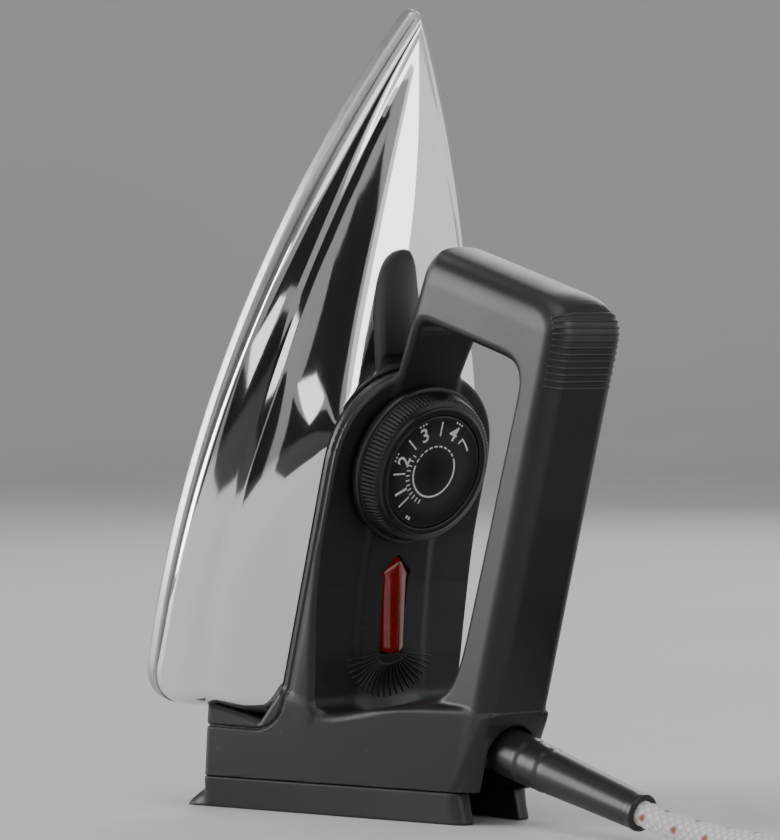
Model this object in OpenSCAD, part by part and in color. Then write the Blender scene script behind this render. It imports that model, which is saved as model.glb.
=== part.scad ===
// Dry clothes iron with a closed-loop handle, standing on its heel with its nose up.
// Sub-parts are drawn as the iron lies in use: X runs forward to the nose, Y to the
// user's left and Z up, with the sole's rear edge at X = 0. Heights are measured from a
// datum plane that lies sole_face below the sole. stand() then tips the whole iron back
// onto its heel. Lengths are in millimetres.

/* [Soleplate] */
// Length of the soleplate from its rear edge to its tip
sole_len = 205; // [195:1:215]
// Greatest width of the soleplate
sole_w = 105; // [100:1:110]
// Height of the sole face above the datum plane
sole_face = 3.5; // [3:0.5:4]
// Height of the upper side of the soleplate's edge
sole_top = 7.5; // [7:0.5:8]
// Distance of the widest place from the rear edge
sole_wide_at = 28; // [24:1:34]
// Diameter of the cast-in tubular heating element
element_d = 7; // [6:0.5:8]

/* [Chrome shell] */
// Height of the shell's flat top above the sole face
shell_top = 35.5; // [34:0.5:37]
// Height of the crease between flank and crown
crease_z = 19; // [16:0.5:22]
// Thickness of the sheet steel
shell_wall = 1.2; // [1:0.1:1.5]

/* [Handle] */
// Height of the grip's back above the sole face
grip_top = 103; // [101:0.5:105]
// Height of the grip's underside above the sole face
grip_under = 88.5; // [86:0.5:90]
// Width of the grip
grip_w = 26; // [24:1:28]
// Front face of the front post
post_front = 147; // [145:1:149]
// Thickness of the front post
post_t = 22; // [20:1:24]
// Outer corner radius of the loop
loop_r = 13; // [9:1:14]

/* [Stand] */
// Angle by which the standing iron leans towards its handle
lean = 16; // [16:1:16]
// Height of the sole's rear edge above the surface that the heel rests on
heel_drop = 31.3; // [31.3:0.1:31.3]
// Thickness of the flared heel cap
cap_t = 9; // [9:0.5:9.5]

/* [Controls] */
// Diameter of the temperature dial
dial_d = 46; // [44:1:47]
// Height of the dial's face above the sole face
dial_face = 50.6; // [50:0.1:51]
// Distance of the dial's axis from the sole's rear edge
dial_x = 82; // [81:1:83]

/* [Cord] */
// Diameter of the braided mains cord
cord_d = 7; // [6.5:0.1:7.5]
// Distance of the swivel barrel's axis from the sole's rear edge
pivot_x = 17; // [17:0.5:17]
// Height of the swivel barrel's axis above the sole face
pivot_z = 92; // [92:0.5:92]
// Upward tilt of the strain relief from the line square to the sole
guard_tilt = 3; // [3:0.5:3]
// Distance from the swivel axis to the tip of the strain relief
guard_len = 65; // [65:1:65]
// Radius of the coil at the middle of its turns
coil_r = 35; // [35:1:35]

/* [Hidden] */
$fn = 64;

eps = 0.01;
big = 400;
centre_x = 69.9;
sole_half = sole_w / 2;
bow_r = (pow(sole_len + 1.6 - sole_wide_at, 2) + pow(sole_half, 2)) / (2 * sole_half);
web_t = 7.5;
plate_z = sole_top + web_t;
plate_t = 1;
gasket_t = 1.5;
saddle_z = shell_top + gasket_t;
floor_z = 42;
seat_half = 28;
seat_front = 108;
grip_half = grip_w / 2;
opening_front = post_front - post_t;
dial_bottom = 42.4;
spindle_r = 3;
bush_r = 4.5;
bush_z0 = 27;
bush_z1 = 36;
slot_half = 8.2;
barrel_r = 7.8;
barrel_half = 7.7;
trunnion_r = 2.45;
trunnion_reach = 11.6;
running_gap = 0.05;
element_leg_y = 24;
element_front_x = 118;
element_z = sole_top + 3.5;
stud_places = [[140, 0], [56, 30], [56, -30]];
handle_screw_places = [[101, 0], [8.5, 17], [8.5, -17]];
guard_mouth_r = 6.75;
guard_tip_r = 5;
blade_hinge_x = 100;

// Cord route from the strain relief's tip to the coil, and from the coil to the plug,
// in the standing frame.
cord_r = cord_d / 2;
coil_centre = [190, 24];
coil_band = 3 * cord_d;
coil_h = 25.3;
cord_route = [[86.5, 0, 7.7], [94.5, 0, 6], [102.5, 0, 4.8], [110.5, -0.1, 4],
    [118.5, -0.6, 3.6], [130, -2.2, 3.6], [141.5, -4.4, 3.6], [152, -6.7, 3.6],
    [162, -8.7, 3.6], [172, -10.2, 3.6], [181, -11, 3.6]];
tail_route = [[213.8, 58.7, 3.6], [207, 63.2, 3.6], [200.2, 66.6, 3.8], [192.5, 68.9, 4.5],
    [186, 70.3, 5.7], [179.5, 71.3, 7.2], [173.5, 71.8, 8.5], [168, 72, 9.2]];
plug_mouth = [168, 72, 9.2];
plug_len = 34;
plug_relief_len = 16;

// ---- Places and outlines -------------------------------------------------------------

// Moves a sub-part drawn as in use to where it is when the iron stands on its heel.
module stand() {
    translate([-centre_x, 0, heel_drop])
        rotate([0, 0, 180])
        rotate([0, -(90 + lean), 0])
        children();
}

// Brings what is drawn over the surface that the iron stands on into the in-use frame.
module above_datum() {
    rotate([0, 90 + lean, 0])
        rotate([0, 0, 180])
        translate([0, 0, -heel_drop])
        children();
}

// Pointed outline: two large arcs meet at the tip, and the rear corners are round.
module sole_outline(inset = 0, corner_r = 12) {
    tip_cut = sole_len - 2.6 - inset * 2;
    intersection() {
        union() {
            intersection() {
                for_both_bows(inset);
                translate([inset, -big / 2])
                    square([tip_cut - inset, big]);
            }
            translate([tip_cut, 0])
                circle(r = bow_half_width(tip_cut, inset));
        }
        rounded_rear(inset, corner_r);
    }
}

function bow_half_width(x, inset) =
    sqrt(pow(bow_r - inset, 2) - pow(x - sole_wide_at, 2)) - (bow_r - sole_half);

module for_both_bows(inset) {
    intersection() {
        translate([sole_wide_at, sole_half - bow_r])
            circle(r = bow_r - inset, $fn = 180);
        translate([sole_wide_at, bow_r - sole_half])
            circle(r = bow_r - inset, $fn = 180);
    }
}

module rounded_rear(inset, corner_r) {
    half = sole_half - inset - 0.6;
    translate([inset + corner_r, -sole_half])
        square([big, sole_w]);
    translate([inset, corner_r - half])
        square([corner_r + eps, 2 * (half - corner_r)]);
    for (side = [-1, 1])
        translate([inset + corner_r, side * (half - corner_r)])
            circle(r = corner_r);
}

// One ring of the shell's loft: points round an outline whose front narrows from its
// widest place to its tip, and whose rear corners are round.
ring_side = 18;
ring_corner = 5;
function ring_half(t, half, sharp, blunt) = half * pow(1 - pow(t, sharp), blunt);
function half_ring(tip, half, rear, wide, corner, sharp, blunt) = concat(
    [for (i = [0:ring_side - 1])
        let (t = cos(90 * i / ring_side))
        [wide + (tip - wide) * t, ring_half(t, half, sharp, blunt)]],
    [for (i = [0:ring_corner])
        let (a = 90 + 90 * i / ring_corner)
        [rear + corner + corner * cos(a), half - corner + corner * sin(a)]]);
function mirrored(points) = [for (i = [len(points) - 1:-1:1]) [points[i][0], -points[i][1]]];
function ring(tip, half, rear, wide, corner, sharp = 2, blunt = 1) =
    let (side = half_ring(tip, half, rear, wide, corner, sharp, blunt))
    concat(side, mirrored(side));
function at_height(points, z) = [for (p = points) [p[0], p[1], z]];
function tilted(points, z_rear, z_tip, from, to) = [for (p = points)
    let (t = max(0, min(1, (p[0] - from) / (to - from))))
    [p[0], p[1], z_rear + (z_tip - z_rear) * t * t]];

seat = ring(seat_front, seat_half, 4, 78, 9, 2.6, 0.5);
module seat_outline(grow = 0) {
    polygon(ring(seat_front + grow, seat_half + grow, 4 - grow, 78, 9 + grow, 2.6, 0.5));
}

// Closed band of rings: each ring joins the next, and the last joins the first.
module ring_band(rings) {
    n = len(rings[0]);
    m = len(rings);
    polyhedron(
        points = [for (r = rings) for (p = r) p],
        faces = [for (j = [0:m - 1]) for (i = [0:n - 1])
            let (a = j * n, b = ((j + 1) % m) * n, k = (i + 1) % n)
            each [[a + i, b + k, a + k], [a + i, b + i, b + k]]]);
}

// Tube swept along a route. Each ring stands square to the route at its point.
tube_sides = 10;
function unit(v) = v / norm(v);
function heading(route, i) =
    unit(route[min(i + 1, len(route) - 1)] - route[max(i - 1, 0)]);
function tube_ring(route, i, r) =
    let (along = heading(route, i), side = unit(cross([0, 0, 1], along)), up = cross(along, side))
    [for (k = [0:tube_sides - 1])
        route[i] + r * (cos(360 * k / tube_sides) * side + sin(360 * k / tube_sides) * up)];
module tube(route, r) {
    n = tube_sides;
    last = (len(route) - 1) * n;
    polyhedron(
        points = [for (i = [0:len(route) - 1]) each tube_ring(route, i, r)],
        faces = concat(
            [[for (k = [0:n - 1]) k]],
            [for (i = [0:len(route) - 2]) for (k = [0:n - 1])
                let (a = i * n, b = a + n, q = (k + 1) % n)
                each [[a + k, b + k, b + q], [a + k, b + q, a + q]]],
            [[for (k = [n - 1:-1:0]) last + k]]));
}

module side_plate(half) {
    rotate([90, 0, 0])
        linear_extrude(2 * half, center = true)
        children();
}

module end_plate(x0, x1) {
    translate([x0, 0, 0])
        rotate([90, 0, 90])
        linear_extrude(x1 - x0)
        children();
}

module cross_rod(x, z, r, half) {
    translate([x, 0, z])
        rotate([90, 0, 0])
        cylinder(r = r, h = 2 * half, center = true);
}

module screw(r, length, head_r, head_h) {
    difference() {
        union() {
            translate([0, 0, -length])
                cylinder(r = r, h = length + eps);
            cylinder(r = head_r, h = head_h);
        }
        translate([-head_r, -head_h / 4, head_h / 2])
            cube([2 * head_r, head_h / 2, head_h]);
    }
}

// ---- Soleplate and heat ---------------------------------------------------------------

module element_path(r, leg_start = 20) {
    translate([element_front_x - element_leg_y, 0, element_z])
        rotate([0, 0, -90])
        rotate_extrude(angle = 180)
        translate([element_leg_y, 0])
        circle(r = r);
    for (side = [-1, 1])
        translate([leg_start, side * element_leg_y, element_z])
            rotate([0, 90, 0])
            cylinder(r = r, h = element_front_x - element_leg_y - leg_start);
}

module soleplate() {
    color("silver") stand() difference() {
        union() {
            translate([0, 0, sole_face])
                linear_extrude(sole_top - sole_face)
                sole_outline();
            translate([0, 0, sole_top - eps])
                linear_extrude(web_t)
                difference() {
                    sole_outline(17);
                    translate([-10, -element_leg_y + 10])
                        square([70, 2 * element_leg_y - 20]);
                }
            for (p = stud_places)
                translate([p[0], p[1], sole_top - eps])
                    cylinder(r = 6, h = web_t);
        }
        element_path(element_d / 2, 5);
        for (p = stud_places)
            translate([p[0], p[1], sole_top])
                cylinder(r = 2.5, h = big);
    }
}

module heating_element() {
    color("dimgray") stand()
        element_path(element_d / 2);
}

module element_terminals() {
    color("goldenrod") stand()
        for (side = [-1, 1])
            translate([8, side * element_leg_y, element_z])
                rotate([0, 90, 0])
                cylinder(r = 1.6, h = 12);
}

module cover_plate() {
    color("lightsteelblue") stand()
        translate([0, 0, plate_z])
        linear_extrude(plate_t)
        difference() {
            sole_outline(20);
            for (p = stud_places)
                translate(p)
                    circle(r = 2.8);
            translate([dial_x - 18, -13])
                square([44, 26]);
        }
}

module shell_studs() {
    color("darkgray") stand()
        for (p = stud_places)
            translate([p[0], p[1], sole_top])
                cylinder(r = 2.5, h = plate_z + 6 - sole_top);
}

module stud_nuts() {
    color("gray") stand()
        for (p = stud_places)
            translate([p[0], p[1], plate_z + plate_t])
                difference() {
                    cylinder(r = 4.6, h = 4, $fn = 6);
                    translate([0, 0, -1])
                        cylinder(r = 2.5, h = 6);
                }
}

// ---- Chrome shell ---------------------------------------------------------------------

shell_base = sole_top;
shell_foot = ring(sole_len - 2.5, sole_half - 0.8, 0.8, sole_wide_at, 11);
shell_crease = tilted(ring(sole_len - 9, sole_half - 8, 3.5, sole_wide_at, 11, 2, 1.05),
    crease_z, shell_base + 3.5, 60, sole_len - 9);
module chrome_shell() {
    foot_in = ring(sole_len - 5, sole_half - 2, 2, sole_wide_at, 10);
    crease_in = ring(sole_len - 12, sole_half - 9.4, 4.9, sole_wide_at, 10, 2, 1.05);
    hole = ring(seat_front - 12, seat_half - 10, 13, 78, 4, 2.6, 0.5);
    inner_top = shell_top - shell_wall;
    color("gainsboro") stand() difference() {
        ring_band([
            at_height(shell_foot, shell_base),
            at_height(shell_foot, shell_base + 2.5),
            shell_crease,
            at_height(seat, shell_top),
            at_height(hole, shell_top),
            at_height(hole, inner_top),
            at_height(ring(seat_front - 1, seat_half - 1, 5, 78, 8, 2.6, 0.5), inner_top),
            tilted(crease_in, crease_z - shell_wall / 2, shell_base + 2.4, 60, sole_len - 12),
            at_height(foot_in, shell_base)]);
        handle_screw_holes();
    }
}

// The shell's outer volume, which the housing's tower wraps round at the rear.
module shell_solid() {
    n = len(seat);
    outer = [at_height(shell_foot, 0), at_height(shell_foot, shell_base + 2.5), shell_crease,
        at_height(seat, shell_top)];
    polyhedron(
        points = [for (r = outer) for (p = r) p],
        faces = concat(
            [[for (i = [0:n - 1]) i]],
            [for (j = [0:2]) for (i = [0:n - 1])
                let (a = j * n, b = a + n, k = (i + 1) % n)
                each [[a + i, b + k, a + k], [a + i, b + i, b + k]]],
            [[for (i = [n - 1:-1:0]) 3 * n + i]]));
}

module saddle_gasket() {
    color("dimgray") stand()
        translate([0, 0, shell_top])
        linear_extrude(gasket_t)
        difference() {
            seat_outline(-0.6);
            translate([13.5, -seat_half + 10])
                square([seat_front - 31, 2 * seat_half - 20]);
            for (p = handle_screw_places)
                translate(p)
                    circle(r = 1.7);
        }
}

// ---- Handle ---------------------------------------------------------------------------

// Section of the tower under the opening: its sides lean in towards the grip.
module rear_view() {
    polygon([[-37.5, 10], [37.5, 10], [13.6, grip_top - 6], [7, grip_top],
        [-7, grip_top], [-13.6, grip_top - 6]]);
}

// Side view of the opening that the fingers go through, thumb rest at its rear.
module opening_view() {
    polygon([[opening_front, 46.5], [opening_front, grip_under - 3],
        [opening_front - 2, grip_under + 0.5], [opening_front - 6, grip_under + 2],
        [40, grip_under], [32, 86.5], [27, 82], [23, 74], [14, 57], [12.5, 52], [14, 49.5],
        [19, 48.4], [26, 47.2], [34, 45.5], [46, 43.4], [60, floor_z], [104, floor_z],
        [112, 43.5]]);
}

module loop_view() {
    difference() {
        union() {
            translate([-40, 38])
                square([40 + post_front - loop_r, grip_top - 38]);
            translate([-40, 43])
                square([40 + post_front, grip_top - loop_r - 43]);
            translate([post_front - loop_r, grip_top - loop_r])
                circle(r = loop_r);
        }
        opening_view();
        polygon([[101, 30], [101, 38], [post_front - 6, 43], [160, 45], [160, 30]]);
    }
}

// Round shapes that the square-edged loop is cut down to: from above, the front post has
// a bowed face, and from the rear, the grip's back has round edges.
bow_face_r = 19;
post_corner_r = 4;
grip_edge_r = 10;
module loop_from_above() {
    intersection() {
        union() {
            translate([-60, -grip_half])
                square([60 + post_front - 8, grip_w]);
            translate([0, post_corner_r - grip_half])
                square([post_front, grip_w - 2 * post_corner_r]);
            for (side = [-1, 1])
                translate([post_front - 8, side * (grip_half - post_corner_r)])
                    circle(r = post_corner_r);
        }
        union() {
            translate([post_front - bow_face_r, 0])
                circle(r = bow_face_r);
            translate([-60, -big / 2])
                square([60 + post_front - bow_face_r, big]);
        }
    }
}

module grip_from_rear() {
    translate([-grip_half, 0])
        square([grip_w, grip_top - grip_edge_r]);
    translate([grip_edge_r - grip_half, 0])
        square([grip_w - 2 * grip_edge_r, grip_top]);
    for (side = [-1, 1])
        translate([side * (grip_half - grip_edge_r), grip_top - grip_edge_r])
            circle(r = grip_edge_r);
}

module loop() {
    intersection() {
        side_plate(grip_half)
            loop_view();
        linear_extrude(big)
            loop_from_above();
        end_plate(-60, 200)
            grip_from_rear();
    }
}

module saddle() {
    intersection() {
        translate([0, 0, saddle_z])
            linear_extrude(30)
            seat_outline(0.8);
        side_plate(big / 4)
            polygon([[-4, 30], [-4, 49.5], [14, 49.5], [19, 48.4], [26, 47.2], [34, 45.5],
                [46, 43.4], [60, floor_z], [120, floor_z], [120, 30]]);
        end_plate(-10, 130)
            polygon([[-seat_half - 1, 36], [seat_half + 1, 36], [26, 42], [26, 60],
                [-26, 60], [-26, 42]]);
    }
}

// The tower's sides lean in from the heel's footprint to a section under the opening.
module tower() {
    difference() {
        hull() {
            above_datum()
                translate([0, 0, cap_t - 1])
                linear_extrude(0.5)
                heel_print(14, 38.2, 95.5, 13.4, 3);
            end_plate(26, 26.5)
                rear_view();
        }
        side_plate(big / 4)
            opening_view();
        side_plate(big / 4)
            polygon([[3.5, 33], [14, saddle_z], [14, 49], [29, 96], [29, big], [big, big],
                [big, -big], [3.5, -big]]);
    }
}

// Room inside the housing: the terminal chamber, the swivel's chamber with its slot,
// the bores for the swivel's trunnions, and the hollow under the saddle.
module housing_room() {
    translate([-60, -16, 38])
        cube([69, 32, 24]);
    side_plate(9)
        polygon([[-60, 40], [9, 40], [9, 71], [20.5, 78], [20.5, 86], [-60, 86]]);
    translate([-60, -slot_half, 76])
        cube([60 + pivot_x, 2 * slot_half, 60]);
    translate([pivot_x, 0, pivot_z])
        cylinder(r = slot_half, h = 60);
    cross_rod(pivot_x, pivot_z, slot_half + 0.1, slot_half);
    cross_rod(pivot_x, pivot_z, trunnion_r + running_gap, trunnion_reach + 0.2);
    translate([12, -20, 30])
        cube([seat_front - 26, 40, floor_z - 33]);
    translate([5, -12, 30])
        cube([20, 24, 15.5]);
    translate([dial_x, 0, 30])
        cylinder(r = 7, h = 30);
    lens_body(0.1);
    handle_screw_holes();
}

module handle_screw_holes() {
    for (p = handle_screw_places)
        translate([p[0], p[1], shell_top - 4])
            cylinder(r = 1.7, h = 12);
}

module handle_body() {
    color([0.06, 0.06, 0.065]) stand() difference() {
        union() {
            saddle();
            loop();
            tower();
        }
        housing_room();
        shell_solid();
        translate([0, 0, shell_top - eps])
            linear_extrude(gasket_t + eps)
            seat_outline(-0.6);
        cap_screw_holes(1.5);
        above_datum()
            translate([-big / 2, -big / 2, cap_t - big])
            cube(big);
    }
}

module handle_screws() {
    color("gray") stand()
        for (p = handle_screw_places)
            translate([p[0], p[1], shell_top - shell_wall])
                rotate([180, 0, 0])
                screw(1.65, 8, 3.2, 2);
}

// ---- Heel -----------------------------------------------------------------------------

cap_screw_places = [[22, 24], [22, -24], [69, 12.5], [69, -12.5]];
module cap_screw_holes(r) {
    above_datum()
        for (p = cap_screw_places)
            translate([p[0], p[1], 2])
                cylinder(r = r, h = 16);
}

// Footprint of the heel, which narrows towards the grip. Its corners are round.
module heel_print(sole_side, half_wide, grip_side, half_narrow, r) {
    hull()
        for (side = [-1, 1]) {
            translate([sole_side + r, side * (half_wide - r)])
                circle(r = r, $fn = 32);
            translate([grip_side - r, side * (half_narrow - r)])
                circle(r = r, $fn = 32);
        }
}

module heel_cap() {
    color([0.07, 0.07, 0.075]) translate([-centre_x, 0, 0]) difference() {
        hull() {
            linear_extrude(0.8)
                heel_print(6.6, 38.8, 98, 12.8, 2);
            translate([0, 0, cap_t - 0.8])
                linear_extrude(0.8)
                heel_print(13.6, 38.2, 95.6, 13.4, 2);
        }
        translate([78, -slot_half, -1])
            cube([60, 2 * slot_half, 30]);
        for (p = cap_screw_places)
            translate([p[0], p[1], -1]) {
                cylinder(r = 1.7, h = 30);
                cylinder(r = 3.6, h = 4);
            }
    }
}

module heel_cap_screws() {
    color("gray") translate([-centre_x, 0, 0])
        for (p = cap_screw_places)
            translate([p[0], p[1], 3])
                rotate([180, 0, 0])
                screw(1.5, 13, 3.2, 2);
}

// ---- Thermostat and dial --------------------------------------------------------------

stack_x = blade_hinge_x;
bimetal_z = 17.4;
fixed_blade_z = 20.2;
moving_blade_z = 23.4;
bracket_z = sole_top + web_t;

module blade(z, x0, x1, t = 0.5, half = 4) {
    translate([x0, -half, z])
        cube([x1 - x0, 2 * half, t]);
}

module stack_bore(r = 1.65) {
    translate([stack_x, 0, 0])
        cylinder(r = r, h = big / 4);
}

module thermostat_bracket() {
    color("lightgray") stand() difference() {
        union() {
            translate([dial_x - 14, -11, bracket_z])
                cube([38, 22, 1.5]);
            for (side = [-1, 1])
                translate([dial_x - 6, side * 10.25 - 0.75, bracket_z])
                    cube([12, 1.5, 14]);
            translate([dial_x - 6, -11, bracket_z + 14 - eps])
                cube([12, 22, 1.5]);
        }
        translate([dial_x, 0, bracket_z + 5])
            cylinder(r = bush_r, h = 20);
        stack_bore();
    }
}

module thermostat_insulators() {
    color("ivory") stand() difference() {
        for (level = [[16.5, 0.9], [17.9, 2.3], [20.7, 2.1], [24.5, 2.2]])
            translate([stack_x, 0, level[0]])
                cylinder(r = 4.5, h = level[1]);
        stack_bore();
    }
}

module thermostat_bimetal() {
    color("tan") stand() difference() {
        blade(bimetal_z, dial_x - 16, stack_x + 5);
        stack_bore();
    }
}

module thermostat_fixed_blade() {
    color("peru") stand() difference() {
        union() {
            blade(fixed_blade_z, dial_x - 13, stack_x + 5);
            translate([dial_x - 10, 0, fixed_blade_z])
                cylinder(r = 2, h = 1.3);
        }
        stack_bore();
    }
}

module thermostat_moving_blade() {
    color("peru") stand() difference() {
        union() {
            blade(moving_blade_z, dial_x - 13, stack_x - 5.2, 0.5, 3.5);
            translate([dial_x - 10, 0, moving_blade_z - 0.6])
                cylinder(r = 2, h = 0.7);
            translate([dial_x, 0, moving_blade_z + 0.4])
                cylinder(r = 2, h = 1);
        }
    }
}

module thermostat_rivet() {
    color("silver") stand() {
        translate([stack_x, 0, bracket_z])
            cylinder(r = 1.65, h = 26.7 - bracket_z + eps);
        translate([stack_x, 0, 26.7])
            cylinder(r = 3, h = 1.2);
    }
}

module thermostat_bush() {
    color("goldenrod") stand() difference() {
        union() {
            translate([dial_x, 0, bush_z0])
                cylinder(r = bush_r, h = bush_z1 - bush_z0);
            translate([dial_x, 0, bracket_z + 15.5])
                cylinder(r = 6.2, h = 2.5, $fn = 6);
        }
        translate([dial_x, 0, 0])
            cylinder(r = spindle_r + running_gap, h = big / 4);
    }
}

module thermostat_spindle() {
    color("silver") stand()
        translate([dial_x, 0, moving_blade_z + 1.7])
        cylinder(r = spindle_r, h = dial_face - 2 - moving_blade_z - 1.7);
}

// The knob tapers from its knurled skirt to its face, and holds a thin printed disc.
dial_top_r = 18.2;
dial_disc_r = 16.4;
module dial_knob() {
    color([0.05, 0.05, 0.055]) stand() translate([dial_x, 0, 0]) difference() {
        union() {
            rotate_extrude()
                polygon([[0, dial_bottom], [dial_d / 2 - 0.6, dial_bottom],
                    [dial_d / 2, dial_bottom + 0.6], [dial_d / 2, dial_bottom + 2.3],
                    [dial_top_r + 0.6, dial_face - 0.8], [dial_top_r, dial_face],
                    [0, dial_face]]);
            translate([0, 0, 38.5])
                cylinder(r = 5.6, h = 6);
        }
        translate([0, 0, dial_bottom - 1])
            rotate_extrude()
            translate([9, 0])
            square([8, 4.5]);
        translate([0, 0, dial_face - 1])
            cylinder(r = dial_disc_r, h = 2);
        translate([0, 0, 30])
            cylinder(r = spindle_r, h = dial_face - 32);
    }
}

module dial_cap() {
    color([0.09, 0.09, 0.095]) stand()
        translate([dial_x, 0, dial_face - 1])
        cylinder(r = dial_disc_r, h = 0.9);
}

// ---- Pilot light ----------------------------------------------------------------------

// Long lens with a pointed front end. Its ridge follows the rise of the saddle's floor.
module lens_body(grow = 0) {
    intersection() {
        translate([0, 0, 38])
            linear_extrude(20)
            polygon([[27 - grow, -3.6 - grow], [48.5, -4.2 - grow], [49.5, -5 - grow],
                [54.5 + grow, 0], [49.5, 5 + grow], [48.5, 4.2 + grow], [27 - grow, 3.6 + grow]]);
        side_plate(8)
            polygon([[26, 42], [26, 47.5], [28, 49.6], [34, 48.2], [42, 46.3], [50, 44.6],
                [55, 43.4], [55, 39], [40, 40]]);
    }
}

module pilot_lens() {
    color([0.75, 0.06, 0.05]) stand()
        lens_body();
}

module pilot_lamp() {
    color("lightsalmon") stand() {
        translate([34, 0, 36.5])
            rotate([0, 90, 0])
            cylinder(r = 2.4, h = 14);
        translate([48, 0, 36.5])
            sphere(r = 2.4);
    }
}

module lamp_holder() {
    color("gray") stand() difference() {
        translate([31, -4, 32.6])
            cube([8, 8, floor_z - 35.6]);
        translate([34, 0, 36.5])
            rotate([0, 90, 0])
            cylinder(r = 2.4, h = 20);
    }
}

module lamp_resistor() {
    color("tan") stand()
        translate([22, 0, 36.5])
        rotate([0, 90, 0])
        cylinder(r = 1.4, h = 9);
}

module thermal_fuse() {
    color("white") stand()
        translate([44, 15, plate_z + plate_t + 2])
        rotate([0, 90, 0])
        cylinder(r = 2, h = 14);
}

// ---- Wiring ---------------------------------------------------------------------------

block = [-6, 3];
block_z = [43, 56];
terminal_y = [-10, 0, 10];
wire_x = -1.5;
module terminal_block() {
    color("ivory") stand() difference() {
        translate([block[0], -15.5, block_z[0]])
            cube([block[1] - block[0], 31, block_z[1] - block_z[0]]);
        for (y = terminal_y) {
            translate([wire_x, y, 40])
                cylinder(r = 1.9, h = 30);
            translate([block[0] - 1, y, 49.5])
                rotate([0, 90, 0])
                cylinder(r = 1.8, h = 4);
        }
    }
}

module terminal_screws() {
    color("goldenrod") stand()
        for (y = terminal_y)
            translate([block[0], y, 49.5])
                rotate([0, -90, 0])
                screw(1.8, 2.4, 2.8, 1.6);
}

lead_r = 1.4;
core_r = 0.9;
inner_cord_r = 3;
module lead(route, r = lead_r) {
    stand()
        tube(route, r);
}

module live_lead() {
    color("saddlebrown")
        lead([[wire_x, 10, 42.9], [0, 10, 40.8], [4, 10, 39.9], [9, 10, 39.7], [13.5, 9.8, 39],
            [17, 10, 36], [18.5, 10.4, 31.5], [21, 12.4, 25.5], [28, 15, 20], [36, 15, 18.6],
            [43.9, 15, 18.5]]);
}

module neutral_lead() {
    color("steelblue")
        lead([[wire_x, -10, 42.9], [0, -10, 40.8], [4, -10, 39.9], [9, -10, 39.7],
            [13.5, -10, 39], [17, -10.5, 36], [18, -12, 31], [17, -17, 24.5], [14, -21, 19.5],
            [10.5, -23.6, 16.2], [9, -24, 13.9]]);
}

module earth_lead() {
    color("yellowgreen")
        lead([[wire_x, 0, 42.9], [0, 0, 40.8], [4, 0, 39.9], [9, 1, 39.7], [13.5, 1.5, 39],
            [17, 2, 36], [19, 2, 31], [24, 2, 24], [30, 2, 20], [34, 2, 18]]);
}

// The cord's three cores, from its cut end to the terminals.
module cord_cores() {
    color("tan")
        for (y = terminal_y)
            lead([[4, y / 8, 60.8], [3, y / 4, 59.6], [1, y * 0.7, 58.6], [-0.6, y * 0.95, 57.4],
                [wire_x, y, 55.5]], core_r);
}

// The cord inside the housing, from the swivel's barrel through the clamp.
module cord_inner() {
    color("whitesmoke")
        lead([[16.4, 0, 83.2], [15.2, 0, 80.6], [12.4, 0, 78], [8.8, 0, 75.4], [5.6, 0, 73],
            [4.2, 0, 70], [4.05, 0, 66], [4, 0, 61]], inner_cord_r);
}

clamp_bore_r = 3.1;
clamp_x = 0;
module cord_clamp() {
    color([0.2, 0.2, 0.2]) stand() difference() {
        translate([clamp_x, -8.5, 62])
            cube([8, 17, 9]);
        translate([4, 0, 50])
            cylinder(r = clamp_bore_r, h = 30);
        for (y = [-6, 6])
            translate([clamp_x - 1, y, 66])
                rotate([0, 90, 0])
                cylinder(r = 1.3, h = 12);
    }
}

module cord_clamp_screws() {
    color("gray") stand()
        for (y = [-6, 6])
            translate([clamp_x, y, 66])
                rotate([0, -90, 0])
                screw(1.3, 7, 2.3, 1.5);
}

// ---- Swivelling strain relief ---------------------------------------------------------

module along_guard() {
    translate([pivot_x, 0, pivot_z])
        rotate([0, guard_tilt, 0])
        children();
}

module cord_pivot() {
    color([0.1, 0.1, 0.1]) stand() difference() {
        union() {
            cross_rod(pivot_x, pivot_z, barrel_r, barrel_half);
            cross_rod(pivot_x, pivot_z, trunnion_r, trunnion_reach);
        }
        along_guard() {
            translate([0, 0, -20])
                cylinder(r = cord_r, h = 40);
            translate([0, 0, 3.5])
                cylinder(r = 5.2, h = 20);
        }
    }
}

// The cord inside the barrel and the strain relief.
module cord_in_guard() {
    color("whitesmoke") stand() along_guard()
        translate([0, 0, 1 - barrel_r])
        cylinder(r = cord_r, h = guard_len + barrel_r - 1.3);
}

module cord_guard() {
    color([0.12, 0.12, 0.12]) stand() along_guard() rotate_extrude()
        polygon([[cord_r, 3.5], [5.2, 3.5], [5.2, 8.6], [guard_mouth_r, 8.6],
            [guard_mouth_r, 28], [6.2, 44], [guard_tip_r + 0.4, guard_len - 1.5],
            [guard_tip_r - 0.6, guard_len], [cord_r, guard_len]]);
}

// ---- Cord, coil and plug --------------------------------------------------------------

module cord_tube() {
    color("whitesmoke")
        tube(cord_route, cord_r);
}

module coil_section(grow = 0) {
    half = coil_band / 2 + grow;
    corner = cord_r;
    translate([-half, corner - grow])
        square([2 * half, coil_h - 2 * corner + 2 * grow]);
    translate([corner - half, -grow])
        square([2 * (half - corner), coil_h + 2 * grow]);
    for (x = [corner - half, half - corner])
        for (y = [corner - grow, coil_h - corner + grow])
            translate([x, y])
                circle(r = corner);
}

module cord_coil() {
    color("whitesmoke")
        translate([coil_centre[0], coil_centre[1], 0])
        rotate_extrude()
        translate([coil_r, 0])
        coil_section();
}

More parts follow.
